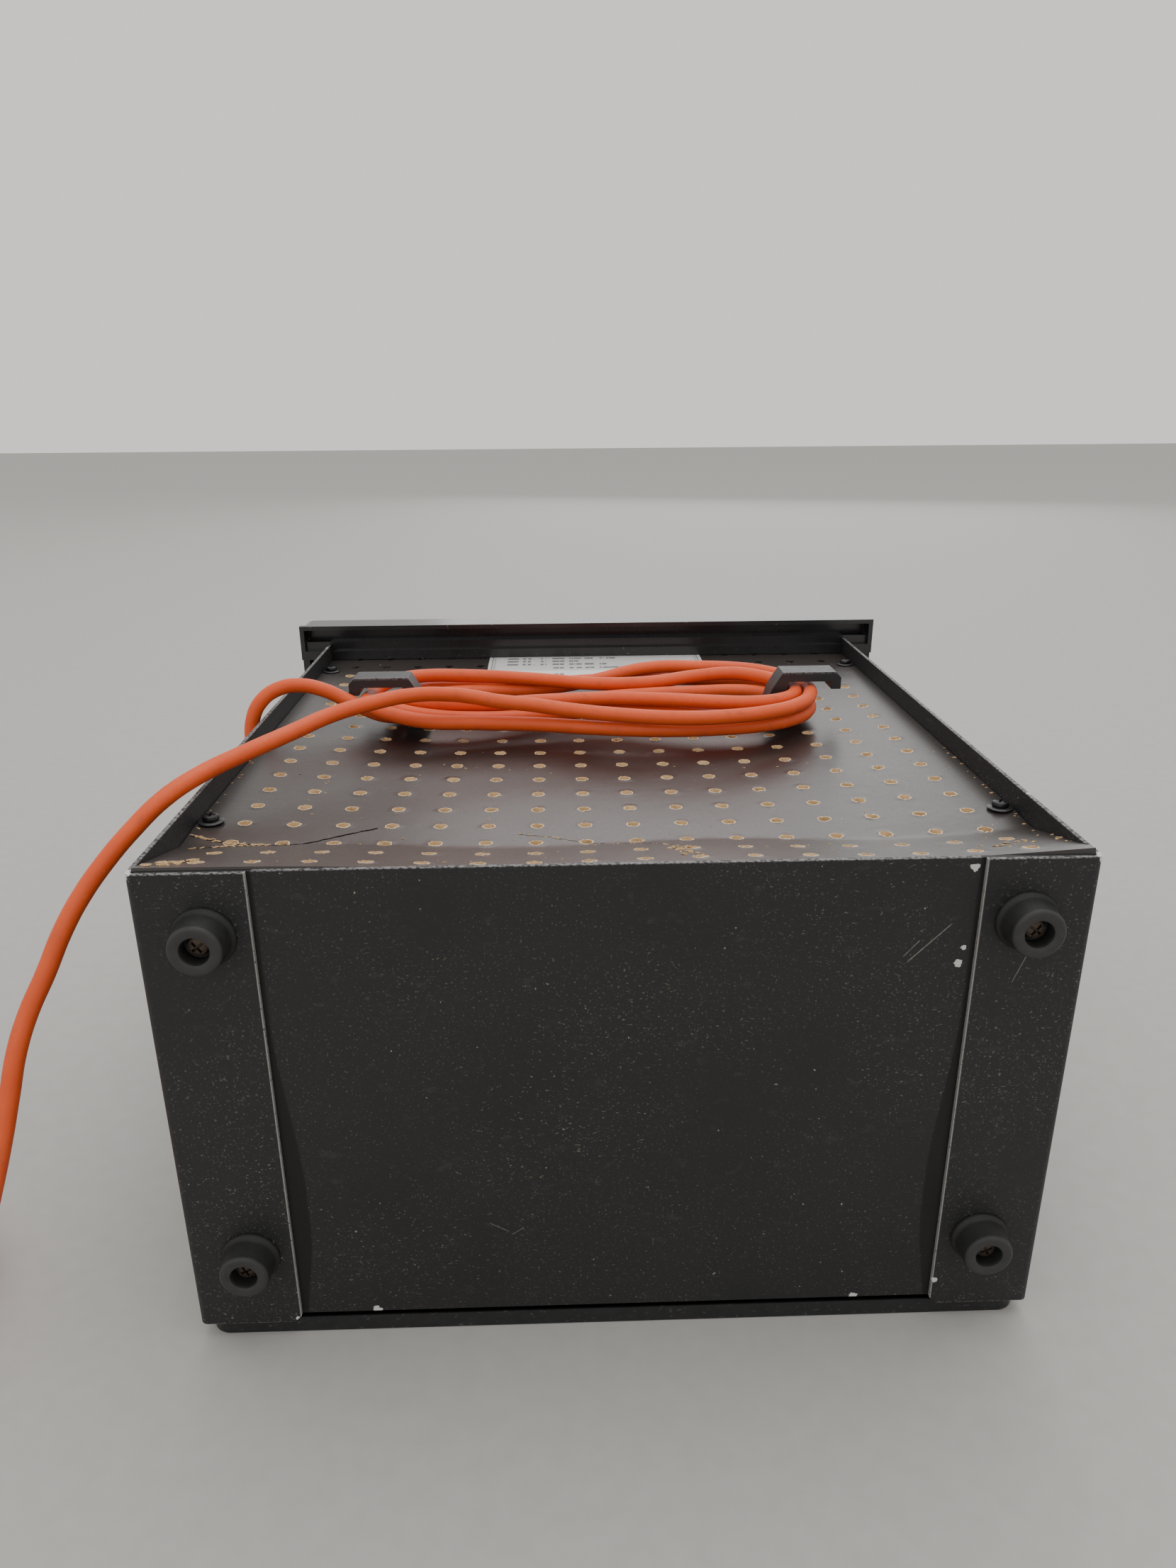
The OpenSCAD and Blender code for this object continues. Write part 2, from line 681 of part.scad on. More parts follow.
// A knob on its shaft, which turns in the bush of its potentiometer
module knob(i) {
    x = knob_first + i * knob_pitch;
    low = panel_top + 1;
    color([0.08, 0.08, 0.08]) difference() {
        union() {
            bar(x, knob_z, panel_y - 6, low + 1, shaft_r);
            bar(x, knob_z, low, low + knob_h - 1.5, knob_r);
            translate([x, low + knob_h - 1.5, knob_z]) rotate([-90, 0, 0])
                cylinder(h = 1.5, r1 = knob_r, r2 = knob_r - 1.5);
        }
        for (a = [0:30:330]) translate([x, 0, knob_z]) rotate([0, a, 0])
            bar(knob_r + 0.5, 0, low + 1, low + knob_h + 1, 1.2);
        block([x - 0.5, low + knob_h - 0.6, knob_z], [x + 0.5, low + knob_h + 1, knob_z + knob_r]);
    }
}

module potentiometers() {
    color("gray") for (i = [0:3]) difference() {
        union() {
            bar(knob_first + i * knob_pitch, knob_z, panel_y - pot_h, panel_y, pot_r);
            bar(knob_first + i * knob_pitch, knob_z, panel_y - 1, panel_top, bush_r);
        }
        bar(knob_first + i * knob_pitch, knob_z, panel_y - 8, panel_top + 1, shaft_r + run);
    }
}

module switch_bezel() {
    bezel = 2;
    w = switch_in[0] / 2;
    d = switch_in[1] / 2;
    color([0.05, 0.05, 0.05]) translate([switch_x, 0, switch_z]) difference() {
        union() {
            block([-switch_w / 2, panel_top, -switch_d / 2], [switch_w / 2, panel_top + bezel,
                switch_d / 2]);
            block([-switch_w / 2 + 2, panel_y - 12, -switch_d / 2 + 2], [switch_w / 2 - 2,
                panel_top + 1, switch_d / 2 - 2]);
        }
        block([-w, panel_y - 10, -d], [w, panel_top + bezel + 1, d]);
        translate([0, switch_y, -d - 1.4]) cylinder(h = 2 * d + 2.8, r = pin_r + run);
    }
}

// The rocker leans to its off side at rest
module switch_rocker() {
    w = 10.2;
    d = switch_in[1] / 2;
    color("darkred") translate([switch_x, switch_y, switch_z]) rotate([0, 0, -switch_tilt]) {
        translate([0, 0, -d + 0.4]) linear_extrude(2 * d - 0.8)
            polygon([[-w, 1], [-4, -6], [4, -6], [w, 1], [w, 5.8], [0, 4.4], [-w, 5.8]]);
        translate([0, 0, -d - 1.1]) cylinder(h = 2 * d + 2.2, r = pin_r);
    }
}

module power_lamp() {
    color("orangered") {
        bar(lamp_x, switch_z, panel_y - 6, panel_top + 1, lamp_r);
        translate([lamp_x, panel_top + 1, switch_z]) sphere(lamp_r);
    }
}

// Jack sockets with their bodies under the panel and ring nuts above
module jack_sockets() {
    color([0.1, 0.1, 0.1]) for (i = [0:jacks - 1]) {
        x = jack_first + i * jack_pitch;
        difference() {
            union() {
                block([x - 7.5, panel_y - jack_deep, jack_z - 7.5], [x + 7.5, panel_y, jack_z + 7.5]);
                bar(x, jack_z, panel_y - 1, panel_top + 2.4, jack_barrel_r);
                bar(x, jack_z, panel_top, panel_top + 2, 7);
            }
            bar(x, jack_z, panel_y - jack_deep + 3, panel_top + 3, jack_r);
        }
    }
}

module fuse_holder() {
    color([0.06, 0.06, 0.06]) difference() {
        union() {
            bar(fuse_x, switch_z, panel_y - 26, panel_top + 1, fuse_r);
            bar(fuse_x, switch_z, panel_top, panel_top + 2, fuse_r + 2.5);
            bar(fuse_x, switch_z, panel_top + 1, panel_top + 7, fuse_r + 0.5);
        }
        block([fuse_x - 4.5, panel_top + 5.5, switch_z - 0.6], [fuse_x + 4.5, panel_top + 8,
            switch_z + 0.6]);
    }
}

// Laminated core with two windows beside its middle limb
module transformer_core() {
    w0 = (core[0] - limb) / 2 - window_w;
    color([0.45, 0.45, 0.47]) translate([core_at[0], plate_top, core_at[1]]) difference() {
        cube(core);
        for (x = [w0, w0 + window_w + limb]) translate([x, yoke, -1])
            cube([window_w, core[1] - 2 * yoke, core[2] + 2]);
    }
}

module transformer_coil() {
    half = limb / 2 + slip;
    far = limb / 2 + window_w - slip;
    color([0.7, 0.45, 0.2])
        translate([core_at[0] + core[0] / 2, plate_top + yoke + slip, core_at[1] + core[2] / 2])
            difference() {
        translate([-far, 0, -core[2] / 2 - 9])
            cube([2 * far, core[1] - 2 * yoke - 2 * slip, core[2] + 18]);
        translate([-half, -1, -core[2] / 2 - slip]) cube([2 * half, core[1], core[2] + 2 * slip]);
    }
}

module amplifier_board() {
    color([0.1, 0.4, 0.2]) translate([pcb_at[0], plate_top, pcb_at[1]]) {
        translate([0, standoff, 0]) cube(pcb);
        for (x = [6, pcb[0] - 6], z = [6, pcb[2] - 6]) bar(x, z, 0, standoff + 0.2, 3);
    }
}

module heat_sink() {
    fins = 8;
    color("silver")
        translate([pcb_at[0] + pcb[0] - sink[0] - 12, plate_top + standoff + pcb[1], pcb_at[1] + 12]) {
        cube([sink[0], 4, sink[2]]);
        for (i = [0:fins - 1]) translate([i * (sink[0] - 2) / (fins - 1), 3, 0])
            cube([2, sink[1] - 3, sink[2]]);
    }
}

module capacitors() {
    color([0.15, 0.2, 0.45]) for (i = [0, 1]) bar(pcb_at[0] + 22 + i * 28, pcb_at[1] + 30,
        plate_top + standoff + pcb[1], plate_top + standoff + pcb[1] + capacitor_h, capacitor_r);
}

// Gland through the left side panel, with a boot that the cord leaves towards the back
module strain_relief() {
    color([0.06, 0.06, 0.06]) {
        translate([-wall_x + 8, gland_y, gland_z]) rotate([0, -90, 0])
            cylinder(h = sheet + 12, r = gland_r);
        translate([-side_x, gland_y, gland_z]) rotate([0, -90, 0]) cylinder(h = 3, r = gland_flange_r);
        translate([boot_x, gland_y, gland_z - 7]) cylinder(h = 15, r = 7);
        translate([boot_x, gland_y, gland_z + 8]) cylinder(h = boot_end - gland_z - 8, r1 = 7, r2 = 4.8);
        translate([-wall_x, gland_y, gland_z]) rotate([0, 90, 0])
            cylinder(h = 5, r = gland_flange_r - 1, $fn = 6);
    }
}

module cord_lead() {
    color("orangered") tube(lead_route, cord_d / 2);
}

// The outer shape of the turns round the hooks
module cord_hank() {
    color("orangered") translate([0, hook_y, hank_low]) linear_extrude(hank_top - hank_low) difference() {
        round_ends(hank_half, hank_side);
        round_ends(hank_in_half, hank_in_side);
    }
}

module round_ends(half, side) {
    square([2 * (half - side), 2 * side], center = true);
    for (s = [-1, 1]) translate([s * (half - side), 0]) circle(side, $fn = 96);
}

module cord_run() {
    color("orangered") tube(run_route, cord_d / 2);
}

module cord_coil() {
    color("orangered") translate([coil_at[0], coil_at[1], floor_z]) rotate_extrude($fn = 96)
        translate([coil_mid - cord_d, 0]) square([2 * cord_d, 2 * cord_d + 0.4]);
}

module cord_tail() {
    color("orangered") tube(tail_route, cord_d / 2);
}

// Moulded plug on its back, with its pins up
module plug_body() {
    cut = 9;
    w = plug_w / 2;
    color([0.08, 0.08, 0.08]) translate([plug_at[0], plug_at[1], floor_z]) {
        linear_extrude(plug_t)
            polygon([[-w + cut, 0], [w - cut, 0], [w, cut], [w, plug_len - 14], [w - 12, plug_len],
            [-w + 12, plug_len], [-w, plug_len - 14], [-w, cut]]);
        translate([0, -12, 9.5]) rotate([-90, 0, 0]) cylinder(h = 13, r1 = 5, r2 = 6.5);
    }
}

module plug_pins() {
    color("gold") translate([plug_at[0], plug_at[1], floor_z + plug_t]) {
        for (s = [-1, 1]) translate([s * pin_gap / 2 - 3.175, 12, 0]) cube([6.35, 4, 17.7]);
        translate([-2, 12 + pin_gap, 0]) cube([4, 8, 22.7]);
    }
}

in_frame() side_panel_left();
in_frame() side_panel_right();
in_frame() bottom_plate();
in_frame() back_panel();
in_frame() back_rails();
in_frame() back_washers();
in_frame() back_screws();
in_frame() rubber_feet();
in_frame() foot_screws();
in_frame() cord_hook_left();
in_frame() cord_hook_right();
in_frame() hook_screws();
in_frame() rating_label();
in_frame() front_grille();
in_frame() baffle_board();
in_frame() speaker_basket();
in_frame() speaker_cone();
in_frame() speaker_surround();
in_frame() speaker_magnet();
in_frame() speaker_screws();
in_frame() top_moulding();
in_frame() moulding_screws();
in_frame() control_panel();
in_frame() panel_screws();
in_frame() cassette_well();
in_frame() cassette_lid();
in_frame() lid_window();
in_frame() lid_hinge_pin();
for (i = [0:5]) in_frame() deck_key(i);
in_frame() spindle(-1);  // supply_spindle
in_frame() spindle(1);  // takeup_spindle
in_frame() deck_motor();
for (i = [0:3]) in_frame() knob(i);
in_frame() potentiometers();
in_frame() switch_bezel();
in_frame() switch_rocker();
in_frame() power_lamp();
in_frame() jack_sockets();
in_frame() fuse_holder();
in_frame() transformer_core();
in_frame() transformer_coil();
in_frame() amplifier_board();
in_frame() heat_sink();
in_frame() capacitors();
in_frame() strain_relief();
in_frame() cord_lead();
in_frame() cord_hank();
in_frame() cord_run();
in_frame() cord_coil();
in_frame() cord_tail();
in_frame() plug_body();
in_frame() plug_pins();
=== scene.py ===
"""Looks of a portable classroom audio unit, a loudspeaker and cassette deck in a steel case.
The unit lies on its grille with its underside to the viewer and its hardboard back upwards."""

import math
import random

import bpy
from mathutils import Matrix, Vector


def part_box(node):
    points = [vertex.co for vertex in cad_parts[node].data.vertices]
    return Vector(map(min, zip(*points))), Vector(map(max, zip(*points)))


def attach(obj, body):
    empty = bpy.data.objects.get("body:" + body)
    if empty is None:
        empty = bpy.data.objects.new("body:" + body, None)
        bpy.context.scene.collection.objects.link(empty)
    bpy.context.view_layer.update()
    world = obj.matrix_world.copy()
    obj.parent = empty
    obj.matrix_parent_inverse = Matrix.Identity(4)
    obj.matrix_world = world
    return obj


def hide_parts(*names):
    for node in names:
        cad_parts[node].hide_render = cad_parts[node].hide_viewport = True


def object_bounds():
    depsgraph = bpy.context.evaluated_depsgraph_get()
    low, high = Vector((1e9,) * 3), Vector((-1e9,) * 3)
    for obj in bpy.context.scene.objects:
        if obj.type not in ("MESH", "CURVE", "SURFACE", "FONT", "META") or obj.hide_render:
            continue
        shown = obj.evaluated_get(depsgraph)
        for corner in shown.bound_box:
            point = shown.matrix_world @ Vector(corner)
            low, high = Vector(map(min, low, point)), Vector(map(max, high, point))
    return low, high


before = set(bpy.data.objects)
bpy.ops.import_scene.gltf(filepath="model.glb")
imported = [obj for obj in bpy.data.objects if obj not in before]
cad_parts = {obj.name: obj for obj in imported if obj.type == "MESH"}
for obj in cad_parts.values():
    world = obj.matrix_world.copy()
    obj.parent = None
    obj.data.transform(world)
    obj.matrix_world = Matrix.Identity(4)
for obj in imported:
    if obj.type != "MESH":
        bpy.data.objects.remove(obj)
cad_low, cad_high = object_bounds()

# ---- Camera ----
# A wide lens held low over the floor, in front of the underside and a little to its left,
# tipped down by about twenty degrees. Distances are in metres, the turn is in degrees.
CAMERA_AT = (-0.01912, -0.49096, 0.34535)
CAMERA_TURN = (69.789, 0.388, -1.735)
LENS = 24.34

lens = bpy.data.cameras.new("camera")
lens.lens = LENS
lens.sensor_width = 36
lens.clip_start = 0.02
camera = bpy.data.objects.new("camera", lens)
camera.location = CAMERA_AT
camera.rotation_euler = [math.radians(angle) for angle in CAMERA_TURN]
bpy.context.scene.collection.objects.link(camera)
bpy.context.scene.camera = camera

# ---- Mains cord ----
# Four metres of orange three-core flex. It comes out of the gland on the left side, climbs over
# the edge of the case, goes four times round the two hooks, and runs down to a coil and its plug.
# Places are in millimetres from the middle of the case, its underside and its front edge.
MM = 0.001
CORD_D = 7.2
case_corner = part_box("side_panel_left")[0]


def at(x, y, z):
    """A place in the case in metres, from its middle, its underside and its front edge."""
    return Vector((x * MM, case_corner.y + y * MM, case_corner.z + z * MM))


LEAD = [(-171, 192, 150), (-172, 192, 163), (-173, 192.5, 175), (-172, 193, 186),
        (-167, 194, 196), (-158, 196, 202), (-147, 198, 203), (-136, 199, 200), (-126, 199, 195),
        (-116, 198.5, 190), (-107, 197.5, 187)]
FIRST_TURN = [(-97, 196.5, 186.8), (-84, 196, 186.8), (-60, 201, 186.8), (-30, 212, 186.8), (0, 224, 186.8),
              (30, 231, 186.8), (60, 234.5, 186.8), (77, 235.5, 186.8), (90, 231, 186.8),
              (99, 221.5, 186.8), (102.5, 210, 186.8), (99, 198, 186.8), (90, 189, 186.8),
              (77, 185.5, 186.8), (60, 187.5, 186.8), (30, 196, 186.8), (0, 201, 186.8),
              (-30, 193.5, 186.8), (-60, 186, 188), (-84, 184, 190.5), (-100, 187.5, 193),
              (-109, 198, 194.2), (-110, 210, 191.5)]
SECOND_TURN = [(-107, 226, 188), (-98, 242, 186.8), (-84, 252, 186.8), (-57, 252, 186.8),
               (-30, 255, 186.8), (0, 262, 186.8), (30, 263, 186.8), (60, 261.5, 186.8),
               (84, 256, 186.8), (98, 245, 186.8), (107.5, 230, 186.8), (110.3, 213, 186.8),
               (107.5, 197, 186.8), (98, 183, 186.8), (84, 174, 186.8), (60, 168, 186.8),
               (30, 166.5, 186.8), (0, 171, 186.8), (-30, 178, 187), (-60, 178, 188.2),
               (-84, 176, 190), (-101, 180, 192.6), (-112, 189, 194.2), (-116.2, 202, 193.5)]
THIRD_TURN = [(-116, 214, 192.5), (-113, 228, 194), (-104, 240, 194.8), (-90, 246.5, 194.8),
              (-72, 247, 194.4), (-57, 245, 194.2), (-30, 239.5, 193.6), (0, 235, 192),
              (30, 239, 191.2), (57, 245.5, 192.8), (76, 245, 194.2), (90, 236.5, 194.2),
              (99, 223.5, 194.2), (102.5, 210, 194.2), (99, 197.5, 194.2), (89, 188.5, 194.2),
              (76, 185.5, 194.2), (60, 187.5, 194.2), (30, 194, 194.2), (0, 198.5, 193.8),
              (-30, 198, 193), (-60, 193.5, 193), (-84, 191, 195), (-97, 197.5, 194.6)]
FOURTH_TURN = [(-102.2, 210, 191.5), (-99, 224, 188), (-90, 234, 186.8), (-76, 240.5, 186.8),
               (-57, 242.5, 186.8), (-30, 244, 187), (0, 254, 188.8), (30, 260, 194),
               (60, 260, 194.2), (84, 254, 194.2), (98, 243, 194.2), (107.5, 228.5, 194.2),
               (110.3, 212, 194.2), (107.5, 196.5, 194.2), (99, 181.5, 194.2),
               (84, 170, 194.2), (60, 162, 194.2), (38, 161, 194.2), (11, 166.5, 194.4),
               (-15, 173.5, 195.5), (-33, 176.5, 197.5)]
RUN = [(-50, 177, 199.5), (-60, 177, 201.5), (-72, 174.5, 203.7), (-88, 167.5, 205.5),
       (-104, 154, 206), (-120, 139, 205), (-134, 119, 203), (-149, 99, 200.5), (-163, 82, 197),
       (-173, 70, 192), (-182, 60, 184), (-191, 51, 174), (-199, 44, 163), (-205, 38, 152),
       (-211, 32, 138), (-217, 26, 125), (-221, 20, 112), (-224, 15, 97), (-227, 9, 81),
       (-231, 3, 64), (-236, -3, 46), (-243, -9, 29), (-253, -14, 13), (-266, -18, 2.5),
       (-280, -20.5, -2.6), (-292, -23, -3.4)]
TAIL = [(-347.8, 28, 3.6), (-347.6, 38, 1.8), (-347, 48, -0.6), (-346, 58, -0.6),
        (-345.2, 67, 1.2), (-345, 75, 2.5)]
COIL_MIDDLE = (-305, 17)
COIL_R = 42.8
COIL_TURNS = 3.25
COIL_STEPS = 16


def ease(value, start, end):
    """Goes smoothly from 0 to 1 as value goes from start to end."""
    share = min(1, max(0, (value - start) / (end - start)))
    return share * share * (3 - 2 * share)


def coil():
    """The spare cord: an outer and an inner turn on the floor, and the rest on top of them."""
    points = []
    for step in range(round(COIL_TURNS * COIL_STEPS) + 1):
        turn = step / COIL_STEPS
        inward = ease(turn, 0.72, 0.97) - ease(turn, 2.4, 2.65)
        radius = COIL_R - 1.04 * CORD_D * inward
        height = -3.4 + 1.01 * CORD_D * ease(turn, 1.6, 1.85)
        angle = -math.pi / 2 - math.tau * turn
        x = COIL_MIDDLE[0] + radius * math.cos(angle)
        points.append((x, COIL_MIDDLE[1] + radius * math.sin(angle), height))
    return points


def cord_curve(name, points, diameter):
    """A round cord along points, which are places in the case."""
    line = bpy.data.curves.new(name, "CURVE")
    line.dimensions = "3D"
    line.bevel_depth = diameter * MM / 2
    line.bevel_resolution = 4
    line.resolution_u = 5
    line.use_fill_caps = True
    spline = line.splines.new("BEZIER")
    spline.bezier_points.add(len(points) - 1)
    for knot, point in zip(spline.bezier_points, points):
        knot.co = at(*point)
        knot.handle_left_type = "AUTO"
        knot.handle_right_type = "AUTO"
    piece = bpy.data.objects.new(name, line)
    bpy.context.scene.collection.objects.link(piece)
    return piece


class Wire:
    """A socket of a finish's nodes. Sums of wires add the Math nodes that work them out."""

    def __init__(self, finish, socket):
        self.finish = finish
        self.socket = socket

    def maths(self, operation, first, second):
        return self.finish.node("ShaderNodeMath", {"operation": operation}, {0: first, 1: second})

    def __add__(self, other):
        return self.maths("ADD", self, other)

    def __sub__(self, other):
        return self.maths("SUBTRACT", self, other)

    def __rsub__(self, other):
        return self.maths("SUBTRACT", other, self)

    def __mul__(self, other):
        return self.maths("MULTIPLY", self, other)

    __radd__ = __add__
    __rmul__ = __mul__

    def __abs__(self):
        return self.maths("ABSOLUTE", self, 0)


class Finish:
    """One finish of the unit: a Principled shader with constant settings, and what feeds it."""

    def __init__(self, name, settings):
        self.material = bpy.data.materials.new(name)
        self.material.use_nodes = True
        self.tree = self.material.node_tree
        self.shader = self.tree.nodes["Principled BSDF"]
        for setting, value in settings.items():
            self.shader.inputs[setting].default_value = value
        self.object_place = self.node("ShaderNodeTexCoord", {}, {}, "Object")

    def node(self, kind, settings, sockets, output=0):
        """Adds a node, sets it up, feeds its sockets and gives back its output."""
        made = self.tree.nodes.new(kind)
        for setting, value in settings.items():
            if setting == "stops":
                for stop, (place, colour) in zip(made.color_ramp.elements, value):
                    stop.position = place
                    stop.color = colour
            else:
                setattr(made, setting, value)
        for socket, value in sockets.items():
            if isinstance(value, Wire):
                self.tree.links.new(value.socket, made.inputs[socket])
            else:
                made.inputs[socket].default_value = value
        return Wire(self, made.outputs[output])

    def feed(self, socket, wire):
        self.tree.links.new(wire.socket, self.shader.inputs[socket])

    def place(self, axis):
        """The X, Y or Z of a point of the piece."""
        return self.node("ShaderNodeSeparateXYZ", {}, {0: self.object_place}, axis)

    def noise(self, size, detail=3, stretch=(1, 1, 1), shift=0):
        """Cloudy pattern with patches about as large as size, in millimetres."""
        spread = self.node("ShaderNodeMapping", {},
                           {"Vector": self.object_place, "Scale": stretch, "Location": (shift, 0, 0)})
        return self.node("ShaderNodeTexNoise", {},
                         {"Vector": spread, "Scale": 1 / (size * MM), "Detail": detail})

    def above(self, value, start, end):
        """A mask that goes from 0 to 1 as value goes from start to end."""
        return self.node("ShaderNodeMapRange", {"interpolation_type": "SMOOTHSTEP"},
                         {"Value": value, "From Min": start, "From Max": end}, "Result")

    def near(self, point, reach, ragged):
        """A mask that is 1 within reach millimetres of a point, with a ragged border."""
        far = self.node("ShaderNodeVectorMath", {"operation": "DISTANCE"},
                        {0: self.object_place, 1: point}, "Value")
        return 1 - self.above(far + (ragged - 0.5) * (reach * 2 * MM), reach * 0.8 * MM, reach * MM)

    def mix(self, mask, first, second):
        """The first colour where the mask is 0, the second where it is 1."""
        first = first if isinstance(first, Wire) else (*first, 1)
        second = second if isinstance(second, Wire) else (*second, 1)
        return self.node("ShaderNodeMix", {"data_type": "RGBA"}, {0: mask, 6: first, 7: second}, 2)

    def bump(self, height, depth):
        """Raises the surface by up to depth, in millimetres, where height is 1."""
        self.feed("Normal", self.node("ShaderNodeBump", {},
                                      {"Height": height, "Distance": depth * MM, "Strength": 1.0}))


def flex_finish():
    """Orange PVC that has been handled for years: greyed by grime in patches, faintly ribbed."""
    finish = Finish("orange_flex", {"Specular IOR Level": 0.45})
    cloud = finish.noise(14, 4)
    grime = finish.above(finish.noise(5, 5), 0.55, 0.78) * 0.45
    rubbed = finish.above(finish.noise(2.2, 4, shift=3), 0.66, 0.74) * 0.5
    colour = finish.mix(cloud, (0.78, 0.105, 0.018), (0.66, 0.075, 0.012))
    colour = finish.mix(grime, colour, (0.36, 0.085, 0.035))
    colour = finish.mix(rubbed, colour, (0.80, 0.16, 0.05))
    finish.feed("Base Color", colour)
    finish.feed("Roughness", 0.46 + 0.2 * cloud + 0.15 * grime)
    finish.bump(finish.noise(3.5, 3) + 0.3 * finish.noise(0.5, 2), 0.16)
    return finish.material


cord_points = LEAD + FIRST_TURN + SECOND_TURN + THIRD_TURN + FOURTH_TURN + RUN + coil() + TAIL
cord = cord_curve("mains_cord", cord_points, CORD_D)
cord.data.materials.append(flex_finish())
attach(cord, "case")

# ---- Floor and studio light ----
# A plain pale floor under the grille and three large soft lamps. None of it is part of the unit.
bpy.ops.mesh.primitive_plane_add(size=14, location=(0, 0, cad_low.z - 0.0002))
floor = bpy.context.object
floor.name = "studio_floor"
floor_finish = Finish("studio_floor", {"Roughness": 0.85})
floor_finish.feed("Base Color",
                  floor_finish.mix(floor_finish.noise(9, 4), (0.40, 0.39, 0.37), (0.46, 0.45, 0.43)))
floor.data.materials.append(floor_finish.material)


def lamp(name, place, aim, size, watts):
    """A square soft lamp that points at a place."""
    data = bpy.data.lights.new(name, "AREA")
    data.size = size
    data.energy = watts
    made = bpy.data.objects.new(name, data)
    made.location = place
    made.rotation_euler = (Vector(aim) - Vector(place)).to_track_quat("-Z", "Y").to_euler()
    bpy.context.scene.collection.objects.link(made)


lamp("ceiling_lamp", (0.3, 0.3, 2.6), (0, 0, 0.1), 2.4, 34)
lamp("front_lamp", (-1.2, -2.6, 1.5), (0, -0.1, 0.1), 2.0, 9)
lamp("back_lamp", (0.6, 2.8, 1.3), (0, 0.1, 0.15), 2.2, 18)
world = bpy.data.worlds.new("studio")
world.use_nodes = True
world.node_tree.nodes["Background"].inputs["Color"].default_value = (0.86, 0.84, 0.82, 1)
world.node_tree.nodes["Background"].inputs["Strength"].default_value = 1.12
bpy.context.scene.world = world

# ---- Steel case ----
# Two side panels, each folded under the case as a flange, over a bottom plate. They are pressed
# from 1.6 mm sheet and stoved in a fine black crackle paint, which has worn off their edges. A painted
# highlight also lightens their rear and front edges.
case_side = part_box("side_panel_right")[1]
flange_edge = 123 * MM


def only(piece):
    """Selects one piece and makes it the active one."""
    bpy.ops.object.select_all(action="DESELECT")
    piece.select_set(True)
    bpy.context.view_layer.objects.active = piece


def apply_modifier(piece, kind, **settings):
    """Adds a modifier with these settings and applies it."""
    only(piece)
    modifier = piece.modifiers.new(kind, kind)
    for setting, value in settings.items():
        setattr(modifier, setting, value)
    bpy.ops.object.modifier_apply(modifier=modifier.name)


def softened(node, width, segments=2, sharp=25):
    """A copy of a piece of the design with every sharp edge rounded by width, in millimetres."""
    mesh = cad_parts[node].data.copy()
    mesh.materials.clear()
    piece = bpy.data.objects.new(node + "_finished", mesh)
    bpy.context.scene.collection.objects.link(piece)
    only(piece)
    if mesh.has_custom_normals:
        bpy.ops.mesh.customdata_custom_splitnormals_clear()
    bpy.ops.object.mode_set(mode="EDIT")
    bpy.ops.mesh.select_all(action="SELECT")
    bpy.ops.mesh.remove_doubles(threshold=0.01 * MM)
    bpy.ops.mesh.dissolve_limited(angle_limit=math.radians(1.5))
    bpy.ops.object.mode_set(mode="OBJECT")
    apply_modifier(piece, "BEVEL", width=width * MM, segments=segments, limit_method="ANGLE",
                   angle_limit=math.radians(sharp), use_clamp_overlap=True, miter_outer="MITER_ARC")
    bpy.ops.object.shade_smooth_by_angle(angle=math.radians(30))
    apply_modifier(piece, "WEIGHTED_NORMAL", keep_sharp=True)
    return piece


def fitted(piece, finish, slot, *nodes, body="case"):
    """Gives a piece its finish, and says which body it rides on and which nodes it stands for."""
    piece.data.materials.clear()
    piece.data.materials.append(finish)
    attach(piece, body)
    if nodes:
        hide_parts(*nodes)


def stroke(finish, x, z, angle, length, width, ragged):
    """A mask for a scratch across the underside, in millimetres, turned by angle in degrees."""
    middle = at(x, 0, z)
    turn = math.radians(angle)
    right = finish.place("X") - middle.x
    back = finish.place("Z") - middle.z
    along = abs(right * math.cos(turn) + back * math.sin(turn))
    aside = abs(back * math.cos(turn) - right * math.sin(turn))
    reach = 1 - finish.above(along, length * 0.4 * MM, length * 0.5 * MM)
    line = 1 - finish.above(aside + (ragged - 0.5) * (width * MM), width * 0.3 * MM, width * 0.6 * MM)
    return reach * line


